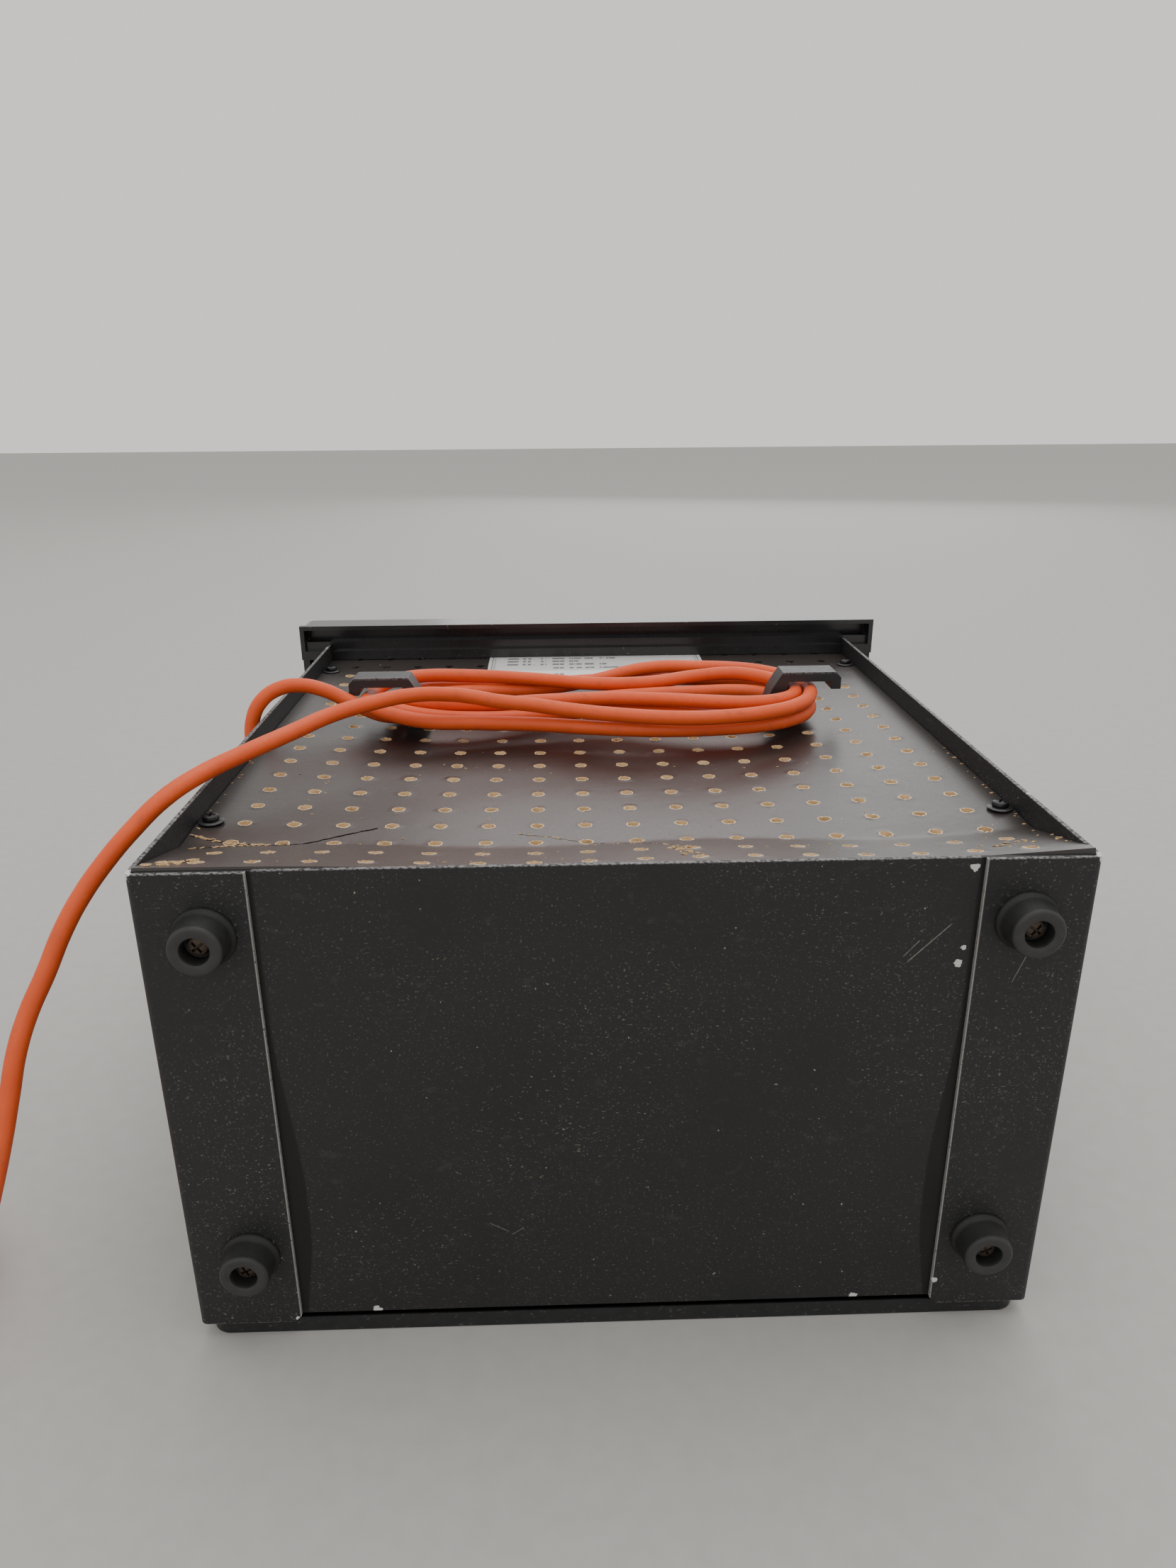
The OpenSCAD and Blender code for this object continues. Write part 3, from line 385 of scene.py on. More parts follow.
def paint_finish(name, bare_edge, chips, scratches, flange_shadow=False):
    """Black crackle paint with dust in its grain. Steel shows at chips and along bare_edge.

    With flange_shadow, a painted shadow of the flanges darkens a strip along the sheet's two sides that
    widens to the front."""
    finish = Finish(name, {"Specular IOR Level": 0.42})
    crackle = finish.noise(0.55, 2)
    cloud = finish.noise(45, 5)
    ragged = finish.noise(1.4, 4)
    colour = finish.mix(cloud, (0.0085, 0.0085, 0.0095), (0.017, 0.0165, 0.017))
    rubbed = finish.above(finish.noise(7, 6, (1, 1, 1.6), 2), 0.60, 0.80) * 0.35
    colour = finish.mix(rubbed, colour, (0.05, 0.047, 0.044))
    dust = finish.above(finish.noise(0.9, 3, shift=5), 0.60, 0.74) * finish.above(cloud, 0.25, 0.6)
    colour = finish.mix(dust * 0.5, colour, (0.19, 0.19, 0.18))
    swept = finish.above(finish.noise(70, 2, shift=8), 0.42, 0.6)
    flecks = finish.above(finish.noise(1.3, 2, (1, 1, 1.8), 7), 0.66, 0.74) * swept
    colour = finish.mix(flecks * 0.55, colour, (0.24, 0.21, 0.17))
    grit = finish.above(finish.noise(2.1, 2, shift=9), 0.765, 0.79)
    colour = finish.mix(grit * 0.7, colour, (0.36, 0.31, 0.25))
    # Wear and a painted highlight: the rear and front edges are lightened in ragged patches.
    rear = finish.above(finish.place("Z"), case_side.z - 0.45 * MM, case_side.z - 0.1 * MM)
    front = 1 - finish.above(finish.place("Z"), case_corner.z + 0.1 * MM, case_corner.z + 0.4 * MM)
    worn = finish.above(ragged, 0.40, 0.56) * (rear + front * 0.6)
    colour = finish.mix(worn * 0.62, colour, (0.26, 0.255, 0.25))
    bare = 1 - finish.above(abs(abs(finish.place("X")) - bare_edge), 0.3 * MM, 0.6 * MM)
    bare = bare * finish.above(ragged, 0.28, 0.42)
    colour = finish.mix(bare * 0.7, colour, (0.33, 0.32, 0.31))
    for x, y, z, reach in chips:
        colour = finish.mix(finish.near(at(x, y, z), reach, ragged), colour, (0.55, 0.54, 0.52))
    for x, z, angle, length, width in scratches:
        colour = finish.mix(stroke(finish, x, z, angle, length, width, ragged) * 0.5, colour,
                            (0.30, 0.27, 0.24))
    # Painted shadow of the flanges: a dark strip along both sides of the sheet, wider towards the front.
    if flange_shadow:
        back = finish.place("Z")
        shadow_spread = 1 - finish.above(back, case_corner.z + 60 * MM, case_corner.z + 135 * MM)
        shadow_spread = shadow_spread * finish.above(back, case_corner.z - 10 * MM, case_corner.z + 45 * MM)
        edge = abs(finish.place("X")) + shadow_spread * (5.5 * MM)
        gap = finish.above(edge, flange_edge - 2.2 * MM, flange_edge - 1.1 * MM)
        colour = finish.mix(gap, colour, (0.0012, 0.0012, 0.0012))
    finish.feed("Base Color", colour)
    finish.feed("Roughness", 0.44 + 0.22 * cloud + 0.25 * dust - 0.1 * rubbed)
    finish.bump(crackle + 0.8 * finish.noise(1.6, 2, shift=4), 0.11)
    return finish.material


half_w = case_side.x / MM
side_paint = paint_finish("black_crackle_paint", flange_edge,
                          [(-half_w, 2, 192, 2.6), (half_w, 2, 192, 2.6), (-124, 0, 1, 1.6),
                           (half_w, 60, 192, 1.3), (124, 0, 12, 1.3), (-half_w, 330, 192, 1.5)],
                          [(139, 150, 70, 12, 0.3)])
# The bottom plate gets the painted shadow of the flanges along its sides.
plate_paint = paint_finish("black_crackle_paint_on_plate", 1,
                           [(119.5, 1.6, 188.5, 1.7), (-94, 1.6, 3, 2), (93, 1.6, 3, 1.8),
                            (118, 1.6, 152, 1.5), (119, 1.6, 158, 1)],
                           [(107, 160, 46, 22, 0.45), (101, 158, 50, 9, 0.3), (-45, 42, -30, 9, 0.25),
                            (-38, 40, 35, 6, 0.25)], True)
for name in ("side_panel_left", "side_panel_right"):
    panel = softened(name, 0.35)
    fitted(panel, side_paint, "coated_steel", name)
plate = softened("bottom_plate", 0.35)
fitted(plate, plate_paint, "coated_steel", "bottom_plate")

# ---- Hardboard back ----
# A sheet of 3.2 mm hardboard, painted dark brown on its smooth face, with vent holes all over.
# It has sagged in the middle, and its lower edge has broken along a crease and springs outwards.
PITCH = 19.05
HOLE_D = 4.8
FIRST_ROW = 12.9
COLUMNS = 16
ROWS = 18
BOARD_T = 3.2
board_low, board_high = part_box("back_panel")
board_top = (board_high.y - case_corner.y) / MM
board_face = (board_high.z - case_corner.z) / MM
board_half = board_high.x / MM
RIM_SIDES = 16
RIM_R = 3.3
MID_R = 6


def board_rise(x, y):
    """How far the board's face stands above its flat place, in millimetres."""
    crease = 48.5 + 2.5 * math.sin(x / 23)
    across = 1 - min(1, abs(x) / board_half) ** 2.5
    if y < crease:
        return -3.3 * (across * 0.75 + 0.25) + (crease - y) * 0.262
    sag = 3.3 + 3.0 * (1 - math.exp(-(y - crease) / 40))
    edge_dip = 0.8 * (1 - across) * (1 - ease(y, crease, crease + 18))
    return -sag * across * (1 - ease(y, 225, board_top)) - edge_dip


def board_cell():
    """One cell of the board around a vent hole: three rings of faces, the last one square."""
    bpy.ops.object.select_all(action="DESELECT")
    bpy.ops.mesh.primitive_circle_add(vertices=RIM_SIDES, radius=HOLE_D / 2 * MM)
    cell = bpy.context.object
    bpy.ops.object.mode_set(mode="EDIT")
    bpy.ops.mesh.select_all(action="SELECT")
    for inner, outer in zip((HOLE_D / 2, RIM_R, MID_R), (RIM_R, MID_R, PITCH / 2)):
        bpy.ops.mesh.extrude_edges_move()
        bpy.ops.transform.resize(value=(outer / inner,) * 3)
    bpy.ops.object.mode_set(mode="OBJECT")
    for vertex in cell.data.vertices:
        x, y = vertex.co.x / MM, vertex.co.y / MM
        if math.hypot(x, y) > (MID_R + PITCH / 2) / 2:
            reach = PITCH / 2 / max(abs(x), abs(y))
            vertex.co = (x * reach * MM, y * reach * MM, 0)
    return cell


def hardboard():
    """The board: cells laid out in rows and columns, trimmed to size, bowed, and given its thickness."""
    board = board_cell()
    board.name = "hardboard_back"
    apply_modifier(board, "ARRAY", count=COLUMNS, use_relative_offset=False, use_constant_offset=True,
                   constant_offset_displace=(PITCH * MM, 0, 0), use_merge_vertices=True,
                   merge_threshold=0.02 * MM)
    apply_modifier(board, "ARRAY", count=ROWS, use_relative_offset=False, use_constant_offset=True,
                   constant_offset_displace=(0, PITCH * MM, 0), use_merge_vertices=True,
                   merge_threshold=0.02 * MM)
    only(board)
    bpy.ops.object.mode_set(mode="EDIT")
    bpy.ops.mesh.select_all(action="SELECT")
    bpy.ops.mesh.remove_doubles(threshold=0.02 * MM)
    bpy.ops.mesh.normals_make_consistent(inside=False)
    if sum(face.normal.z for face in board.data.polygons) < 0:
        bpy.ops.mesh.flip_normals()
    bpy.ops.object.mode_set(mode="OBJECT")
    half_span = (COLUMNS - 1) / 2 * PITCH
    raw = board.data.attributes.new("raw", "FLOAT", "POINT")
    for vertex in board.data.vertices:
        x = vertex.co.x / MM - half_span
        y = vertex.co.y / MM + FIRST_ROW
        from_hole = math.hypot((x + half_span + PITCH / 2) % PITCH - PITCH / 2,
                               (y - FIRST_ROW + PITCH / 2) % PITCH - PITCH / 2)
        lift = 0
        if from_hole < HOLE_D / 2 + 0.1:
            x += chance.uniform(-0.28, 0.28)
            y += chance.uniform(-0.28, 0.28)
            lift = chance.uniform(-0.1, 0.35)
            raw.data[vertex.index].value = 1
        if abs(x) > half_span + PITCH * 0.4:
            x = math.copysign(board_half, x)
        y = min(max(y, board_bottom), board_top)
        vertex.co = at(x, y, board_face + board_rise(x, y) + lift)
    apply_modifier(board, "SOLIDIFY", thickness=BOARD_T * MM, offset=-1, material_offset_rim=1)
    bpy.ops.object.shade_smooth_by_angle(angle=math.radians(35))
    return board


def shaded_holes(finish):
    """A mask of painted shade for the holes in the shadow of the wound cord and of the moulding."""
    up = finish.place("Y")
    between_hooks = 1 - finish.above(abs(finish.place("X")), 0.1, 0.12)
    wound = finish.above(up, at(0, 246, 0).y, at(0, 250, 0).y) * between_hooks
    return 1 - (1 - wound) * (1 - finish.above(up, at(0, 306, 0).y, at(0, 310, 0).y))


def board_finishes():
    """The board's brown paint, worn to fibre at the holes' rims, and the raw fibre inside them, both with
    painted shade in the holes under the wound cord and by the moulding.
    """
    fibre = Finish("raw_fibre", {"Roughness": 0.9, "Specular IOR Level": 0.2})
    strands = fibre.noise(0.5, 4, (1, 1, 2.5))
    colour = fibre.mix(fibre.above(strands, 0.3, 0.7), (0.22, 0.125, 0.055), (0.72, 0.50, 0.27))
    # Painted shade: the fibre in the holes under the wound cord and by the moulding is made nearly black.
    fibre.feed("Base Color", fibre.mix(shaded_holes(fibre), colour, (0.022, 0.016, 0.013)))
    fibre.bump(strands, 0.4)
    paint = Finish("brown_hardboard_paint", {"Specular IOR Level": 0.5, "Coat Roughness": 0.22})
    cloud = paint.noise(60, 4)
    ragged = paint.noise(0.7, 3)
    colour = paint.mix(cloud, (0.020, 0.0155, 0.0135), (0.030, 0.023, 0.020))
    rim = paint.node("ShaderNodeAttribute", {"attribute_name": "raw"}, {}, "Fac")
    # The pale rims are left out where the holes are in painted shade.
    rim = rim * (1 - shaded_holes(paint))
    colour = paint.mix(paint.above(rim + 0.9 * (ragged - 0.5), 0.5, 0.62), colour, (0.66, 0.46, 0.25))
    specks = paint.above(paint.noise(1.3, 2, shift=6), 0.735,
                         0.76) * paint.above(paint.noise(30, 3, shift=2), 0.45, 0.6)
    colour = paint.mix(specks, colour, (0.55, 0.44, 0.32))
    paint.feed("Base Color", colour)
    paint.feed("Roughness",
               0.27 + 0.12 * cloud + 0.5 * specks + 0.1 * paint.above(paint.noise(0.5, 2), 0.4, 0.7))
    paint.feed("Coat Weight", 0.15 * (1 - specks))
    paint.bump(paint.noise(9, 3) + 0.05 * paint.noise(0.6, 2), 0.16)
    return paint.material, fibre.material


chance = random.Random(11)
board_bottom = (board_low.y - case_corner.y) / MM
board = hardboard()
board_paint, raw_fibre = board_finishes()
fitted(board, board_paint, "hardboard", "back_panel")
board.data.materials.append(raw_fibre)


def torn_fibre(name, spots):
    """Torn flakes of board: small crumpled chips, each lying at a spot of the board's face."""
    chips = []
    for x, y, size, length in spots:
        bpy.ops.object.select_all(action="DESELECT")
        bpy.ops.mesh.primitive_ico_sphere_add(subdivisions=1, radius=size * MM)
        chip = bpy.context.object
        turn = Matrix.Rotation(chance.uniform(-0.6, 0.6), 4, "Z")
        flat = Matrix.Diagonal((length, 0.7, 0.4, 1))
        place = Matrix.Translation(at(x, y, board_face + board_rise(x, y) + size * 0.12))
        for vertex in chip.data.vertices:
            vertex.co = vertex.co * chance.uniform(0.55, 1.3)
        chip.data.transform(place @ turn @ flat)
        chips.append(chip)
    only(chips[0])
    for chip in chips:
        chip.select_set(True)
    bpy.ops.object.join()
    chips[0].name = name
    return chips[0]


def along(points, step, spread):
    """Spots along a broken line, each moved a little to either side."""
    spots = []
    for start, end in zip(points, points[1:]):
        gap = math.dist(start, end)
        for part in range(max(1, round(gap / step))):
            share = (part + chance.random()) * step / gap
            spots.append((start[0] + (end[0] - start[0]) * share + chance.uniform(-spread, spread),
                          start[1] + (end[1] - start[1]) * share + chance.uniform(-spread, spread)))
    return spots


# The crack starts at the left edge, where a corner has broken away, and dies out to the right.
CRACK = [(-160, 57), (-150, 53), (-143, 50.5), (-128, 48), (-119, 49), (-112, 53), (-105, 58), (-90, 68)]
BRANCH = [(-156, 42), (-146, 45.5), (-130, 48)]
CREASE = [(-36, 61), (-22, 57), (-10, 49.5), (6, 47), (16, 44), (24, 38)]
chip_spots = [(x, y, chance.uniform(0.5, 1.1), chance.uniform(1.2, 2.6)) for x,
              y in along(CRACK[:4], 1.3, 0.5)]
chip_spots += [(x, y, chance.uniform(0.4, 0.8), chance.uniform(1.2, 2.4)) for x,
               y in along(BRANCH, 1.8, 0.5)]
chip_spots += [(x, y, chance.uniform(0.25, 0.6), chance.uniform(1, 2.4)) for x,
               y in along(CREASE, 2.6, 0.8)]
chip_spots += [(x, y, chance.uniform(0.6, 1.4), chance.uniform(1, 2)) for x,
               y in along([(23, 36), (27, 17)], 1.1, 3.2)]
chip_spots += [(x, y, chance.uniform(0.4, 0.9), 1.4) for x, y in along([(-159, 60), (-159.5, 165)], 9, 0.7)]
chip_spots += [(x, y, chance.uniform(0.4, 1), 1.4) for x, y in along([(159, 15), (159.5, 150)], 8, 0.8)]
chip_spots += [(x, y, chance.uniform(0.4, 1.1), 1.6) for x, y in along([(130, 20), (158, 30)], 2.5, 6)]
chip_spots += [(x, y, chance.uniform(0.7, 1.8), 1.6) for x, y in along([(-157, 8), (-147, 14)], 0.8, 3)]
chip_spots += [(chance.uniform(-150, 150), chance.uniform(8, 150), chance.uniform(0.2, 0.55),
                1.5) for _ in range(70)]
torn = torn_fibre("torn_fibre_chips", chip_spots)
fitted(torn, raw_fibre, "hardboard")


def crack_shadow_strip(name, points, width):
    """Painted shade in the open gap of a crack: a thin ragged dark strip on the board's face."""
    verts = []
    for x, y in along(points, 1.2, 0.25):
        for side in (-1, 1):
            wide = y + side * chance.uniform(0.3, 1) * width / 2
            verts.append(at(x, wide, board_face + board_rise(x, wide) + 0.07))
    mesh = bpy.data.meshes.new(name)
    faces = [(i, i + 2, i + 3, i + 1) for i in range(0, len(verts) - 2, 2)]
    mesh.from_pydata(verts, [], faces)
    piece = bpy.data.objects.new(name, mesh)
    bpy.context.scene.collection.objects.link(piece)
    return piece


# Painted shade for the cracks: a dull, near-black finish that reflects nothing.
crack_shadow_finish = Finish("shadow_in_crack", {"Roughness": 1.0, "Specular IOR Level": 0.0})
crack_shadow_finish.feed("Base Color",
                crack_shadow_finish.mix(crack_shadow_finish.noise(1, 3), (0.002, 0.002, 0.002), (0.02, 0.014, 0.01)))
for name, points, width in (("crack_shadow", CRACK, 1.5), ("branch_shadow", BRANCH, 0.9),
                            ("crease_shadow", CREASE, 0.35)):
    fitted(crack_shadow_strip(name, points, width), crack_shadow_finish.material, "hardboard")

# ---- Board screws and washers ----
# Four black pan-head screws with a cross recess hold the board to the rails, each on a dished
# washer. The board screws and the foot screws are turned from an outline and have their cross cut in.
SCREW_HEAD_R = 3.3


def turned(name, outline, steps=40):
    """A round piece turned about its own upright axis from points of radius and height."""
    bpy.ops.object.select_all(action="DESELECT")
    bpy.ops.mesh.primitive_plane_add(size=MM)
    piece = bpy.context.object
    piece.name = name
    bpy.ops.object.mode_set(mode="EDIT")
    bpy.ops.mesh.select_all(action="SELECT")
    bpy.ops.mesh.merge(type="CENTER")
    bpy.ops.transform.translate(value=(outline[0][0] * MM, 0, outline[0][1] * MM))
    for (r0, h0), (r1, h1) in zip(outline, outline[1:]):
        step = ((r1 - r0) * MM, 0, (h1 - h0) * MM)
        bpy.ops.mesh.extrude_region_move(TRANSFORM_OT_translate={"value": step})
    bpy.ops.mesh.select_all(action="SELECT")
    bpy.ops.mesh.spin(steps=steps, angle=math.tau, center=(0, 0, 0), axis=(0, 0, 1))
    bpy.ops.mesh.select_all(action="SELECT")
    bpy.ops.mesh.remove_doubles(threshold=0.01 * MM)
    bpy.ops.mesh.normals_make_consistent(inside=False)
    bpy.ops.object.mode_set(mode="OBJECT")
    return piece


def block(low, high):
    """A plain block between two corners, in metres, for cutting into other pieces or adding to them."""
    bpy.ops.object.select_all(action="DESELECT")
    bpy.ops.mesh.primitive_cube_add(size=1)
    piece = bpy.context.object
    size = [b - a for a, b in zip(low, high)]
    middle = [(a + b) / 2 for a, b in zip(low, high)]
    piece.data.transform(Matrix.Translation(middle) @ Matrix.Diagonal((*size, 1)))
    return piece


def combine(piece, other, operation):
    """Cuts another piece out of this one, or adds it, and uses it up."""
    apply_modifier(piece, "BOOLEAN", operation=operation, solver="EXACT", object=other)
    bpy.data.objects.remove(other)


def screw(name, radius, height, shank):
    """A pan-head screw that points down, with a cross recess."""
    piece = turned(name, [(0, -shank), (radius * 0.5, -shank), (radius * 0.5, 0), (radius * 0.94, 0),
                          (radius, height * 0.14), (radius, height * 0.42), (radius * 0.88, height * 0.78),
                          (radius * 0.6, height * 0.95), (radius * 0.3, height), (0, height)], 28)
    wide, long, deep = radius * 0.13 * MM, radius * 0.6 * MM, height * 0.45 * MM
    for reach in ((long, wide), (wide, long)):
        cutter = block((-reach[0], -reach[1], deep), (reach[0], reach[1], height * 2 * MM))
        combine(piece, cutter, "DIFFERENCE")
    only(piece)
    bpy.ops.object.shade_smooth_by_angle(angle=math.radians(35))
    return piece


def set_out(name, pattern, places):
    """One piece made of copies of a pattern, each put in its place by a matrix."""
    copies = []
    for place in places:
        copy = bpy.data.objects.new(name, pattern.data.copy())
        copy.data.transform(place)
        bpy.context.scene.collection.objects.link(copy)
        copies.append(copy)
    bpy.data.objects.remove(pattern)
    only(copies[0])
    for copy in copies:
        copy.select_set(True)
    bpy.ops.object.join()
    copies[0].name = name
    return copies[0]


def plain_finish(name, dark, light, roughness, metal=0.0, patch=4.0, grain=0.4, depth=0.03, wear=0.0):
    """A mottled finish: two close colours in patches, a fine grain, and rubbed spots if it is worn."""
    finish = Finish(name, {"Metallic": metal, "Specular IOR Level": 0.45})
    cloud = finish.noise(patch, 4)
    colour = finish.mix(cloud, dark, light)
    if wear:
        rubbed = finish.above(finish.noise(patch * 0.4, 5, shift=3), 0.6, 0.72) * wear
        colour = finish.mix(rubbed, colour, [min(1, channel * 2.2 + 0.08) for channel in light])
    finish.feed("Base Color", colour)
    finish.feed("Roughness", roughness + 0.16 * (cloud - 0.5))
    finish.bump(finish.noise(grain, 2), depth)
    return finish.material


washer_low, washer_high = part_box("back_washers")
screw_x = washer_high.x / MM - 5
screw_ys = [(washer_low.y - case_corner.y) / MM + 5, (washer_high.y - case_corner.y) / MM - 5]
board_spots = [(x, y) for x in (-screw_x, screw_x) for y in screw_ys]
washer_shape = turned("board_washers",
                      [(2.2, 0.3), (4.6, 0), (5, 0.15), (5, 0.5), (4.6, 0.75), (2.2, 1), (2.2, 0.3)])
only(washer_shape)
bpy.ops.object.shade_smooth_by_angle(angle=math.radians(40))
washers = set_out("board_washers", washer_shape,
                  [Matrix.Translation(at(x, y, board_face)) for x, y in board_spots])
fitted(washers, plain_finish("blacked_washer", (0.012, 0.012, 0.013), (0.03, 0.03, 0.032), 0.35, wear=0.3),
       "black_washer", "back_washers")
screws = set_out("board_screws", screw("board_screws", SCREW_HEAD_R, 2.3, 12),
                 [Matrix.Translation(at(x, y, board_face + 1)) @ Matrix.Rotation(chance.uniform(0, 3),
                         4, "Z")
                  for x, y in board_spots])
fitted(screws,
       plain_finish("blacked_screw", (0.012, 0.012, 0.012), (0.028, 0.028, 0.03), 0.32, 0.4, 1.5, wear=0.3),
       "black_screw", "back_screws")

# ---- Rubber feet ----
# Four tapered rubber feet on the flanges, each held by a plated screw at the bottom of a recess.
# The screws are coloured a dark brown.
FOOT_FLOOR = 5
feet_low, feet_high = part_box("rubber_feet")
foot_x = feet_high.x / MM - 11
foot_zs = [(feet_low.z - case_corner.z) / MM + 11, (feet_high.z - case_corner.z) / MM - 11]
downwards = Matrix.Rotation(math.radians(90), 4, "X")
foot_shape = turned("rubber_feet_moulded", [
    (2.3, 0), (10.7, 0), (11, 0.3), (11, 1.1), (10.6, 1.6), (10, 2.1), (9.7, 3.2), (9.15, 9.6),
                                            (8.95, 10.4),
    (8.3, 10.95), (7.6, 11), (5.6, 10.9), (5.1, 10.6), (4.9, 9.9), (4.75, 5.2), (4.5, 5), (2.3, 5),
                                            (2.3, 0)], 48)
only(foot_shape)
bpy.ops.object.shade_smooth_by_angle(angle=math.radians(40))
foot_spots = [(x, z) for x in (-foot_x, foot_x) for z in foot_zs]
feet = set_out("rubber_feet_moulded", foot_shape,
               [Matrix.Translation(at(x, 0, z)) @ downwards for x, z in foot_spots])


def rubber_finish():
    """Black rubber, greyed where the tips have stood on floors."""
    finish = Finish("foot_rubber", {"Specular IOR Level": 0.35})
    cloud = finish.noise(3, 5)
    tip = 1 - finish.above(finish.place("Y"), case_corner.y - 10.9 * MM, case_corner.y - 9.2 * MM)
    colour = finish.mix(cloud, (0.010, 0.010, 0.010), (0.02, 0.02, 0.0195))
    colour = finish.mix(tip * (0.3 + 0.5 * cloud), colour, (0.045, 0.045, 0.046))
    finish.feed("Base Color", colour)
    finish.feed("Roughness", 0.42 + 0.25 * cloud)
    finish.bump(finish.noise(0.6, 3), 0.08)
    return finish.material


fitted(feet, rubber_finish(), "foot_rubber", "rubber_feet")
foot_screws = set_out("foot_screws_cross_head", screw("foot_screws_cross_head", 3.8, 2.6, 9),
                      [Matrix.Translation(at(x, -FOOT_FLOOR,
                                             z)) @ downwards @ Matrix.Rotation(chance.uniform(0, 3), 4, "Z")
                       for x, z in foot_spots])
# The screws are coloured a dark brown.
fitted(foot_screws,
       plain_finish("dark_brown_plated_screw", (0.035, 0.02, 0.012), (0.11, 0.09, 0.07), 0.5, 0.7, 1.2,
                    wear=0.3),
       "plated_screw", "foot_screws")

# ---- Cord hooks ----
# Two moulded L-shaped hooks. A screw through the board holds each by its post, and the cord is
# wound under their arms. They are charcoal nylon, paler along the edges of the arms from wear and from a
# painted highlight.
HOOK_EDGE = 0.9


def hook_finish():
    """Charcoal nylon that is paler along the outer edges of the arms: partly rubbed there by the cord and
    hands, partly a painted highlight.
    """
    finish = Finish("hook_nylon", {"Specular IOR Level": 0.5})
    cloud = finish.noise(3, 5)
    hook_low, hook_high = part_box("cord_hook_right")
    middle = (hook_low.y + hook_high.y) / 2
    half = (hook_high.y - hook_low.y) / 2
    side = finish.above(abs(finish.place("Y") - middle), half - 1.3 * MM, half - 0.3 * MM)
    top = finish.above(finish.place("Z"), hook_high.z - 1.4 * MM, hook_high.z - 0.4 * MM)
    # Wear and a painted highlight: ragged pale patches along the top edges of the arms.
    rubbed = side * top * finish.above(finish.noise(1.1, 4), 0.35, 0.6)
    colour = finish.mix(cloud, (0.013, 0.013, 0.014), (0.024, 0.0235, 0.025))
    finish.feed("Base Color", finish.mix(rubbed * 0.45, colour, (0.24, 0.235, 0.235)))
    finish.feed("Roughness", 0.36 + 0.2 * cloud)
    finish.bump(finish.noise(0.35, 2), 0.05)
    return finish.material


nylon = hook_finish()
for name in ("cord_hook_left", "cord_hook_right"):
    hook = softened(name, HOOK_EDGE, 3)
    for vertex in hook.data.vertices:
        if vertex.co.z < board_high.z + 1.2 * MM:
            vertex.co.z += board_rise(vertex.co.x / MM, (vertex.co.y - case_corner.y) / MM) * MM
    fitted(hook, nylon, "hook_plastic", name)

# ---- Label ----
# A thin foil label stuck on the board under the moulding. Its print is only a double border,
# ruled rows and plain bars.
label_low, label_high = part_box("rating_label")
label_size = label_high - label_low


def label_finish():
    """Silvered foil with a grey print of plain bars and an empty white strip."""
    finish = Finish("label_foil", {"Metallic": 0.25, "Specular IOR Level": 0.5})
    right = (finish.place("X") - label_low.x) * (1 / label_size.x)
    up = (finish.place("Y") - label_low.y) * (1 / label_size.y)

    def band(value, start, end, soft=0.003):
        return finish.above(value, start - soft,
                            start + soft) * (1 - finish.above(value, end - soft, end + soft))

    def frame_line(inset, width):
        x_in = inset * label_size.y / label_size.x
        outer = band(right, x_in, 1 - x_in) * band(up, inset, 1 - inset)
        x_on = (inset + width) * label_size.y / label_size.x
        return outer - band(right, x_on, 1 - x_on) * band(up, inset + width, 1 - inset - width)

    colour = finish.mix(finish.noise(9, 4), (0.62, 0.62, 0.61), (0.74, 0.74, 0.73))
    strip = band(right, 0.05, 0.95) * band(up, 0.10, 0.40)
    colour = finish.mix(strip, colour, (0.86, 0.86, 0.85))
    ink = frame_line(0.035, 0.012) + frame_line(0.065, 0.008)
    words = finish.above(finish.noise(2.2, 1, (1, 0.02, 0.02)), 0.42, 0.46)
    for low, high, start, end in ((0.60, 0.66, 0.08, 0.55), (0.72, 0.78, 0.08, 0.42),
                                  (0.84, 0.90, 0.08, 0.6),
                                  (0.60, 0.66, 0.7, 0.92), (0.47, 0.52, 0.3, 0.7),
                                  (0.20, 0.30, 0.08, 0.36)):
        ink = ink + band(up, low, high) * band(right, start, end) * words
    finish.feed("Base Color", finish.mix(ink * 0.75, colour, (0.07, 0.07, 0.075)))
    finish.feed("Roughness", 0.3 + 0.2 * finish.noise(4, 3))
    finish.bump(finish.noise(6, 2), 0.1)
    return finish.material


bpy.ops.object.select_all(action="DESELECT")
bpy.ops.mesh.primitive_grid_add(x_subdivisions=36, y_subdivisions=16, size=1)
label = bpy.context.object
label.name = "foil_label"
for vertex in label.data.vertices:
    x = label_low.x / MM + (vertex.co.x + 0.5) * label_size.x / MM
    y = (label_low.y - case_corner.y) / MM + (vertex.co.y + 0.5) * label_size.y / MM
    vertex.co = at(x, y, board_face + board_rise(x, y) + 0.32)
apply_modifier(label, "SOLIDIFY", thickness=0.25 * MM, offset=-1)
bpy.ops.object.shade_smooth_by_angle(angle=math.radians(30))
fitted(label, label_finish(), "label_foil", "rating_label")

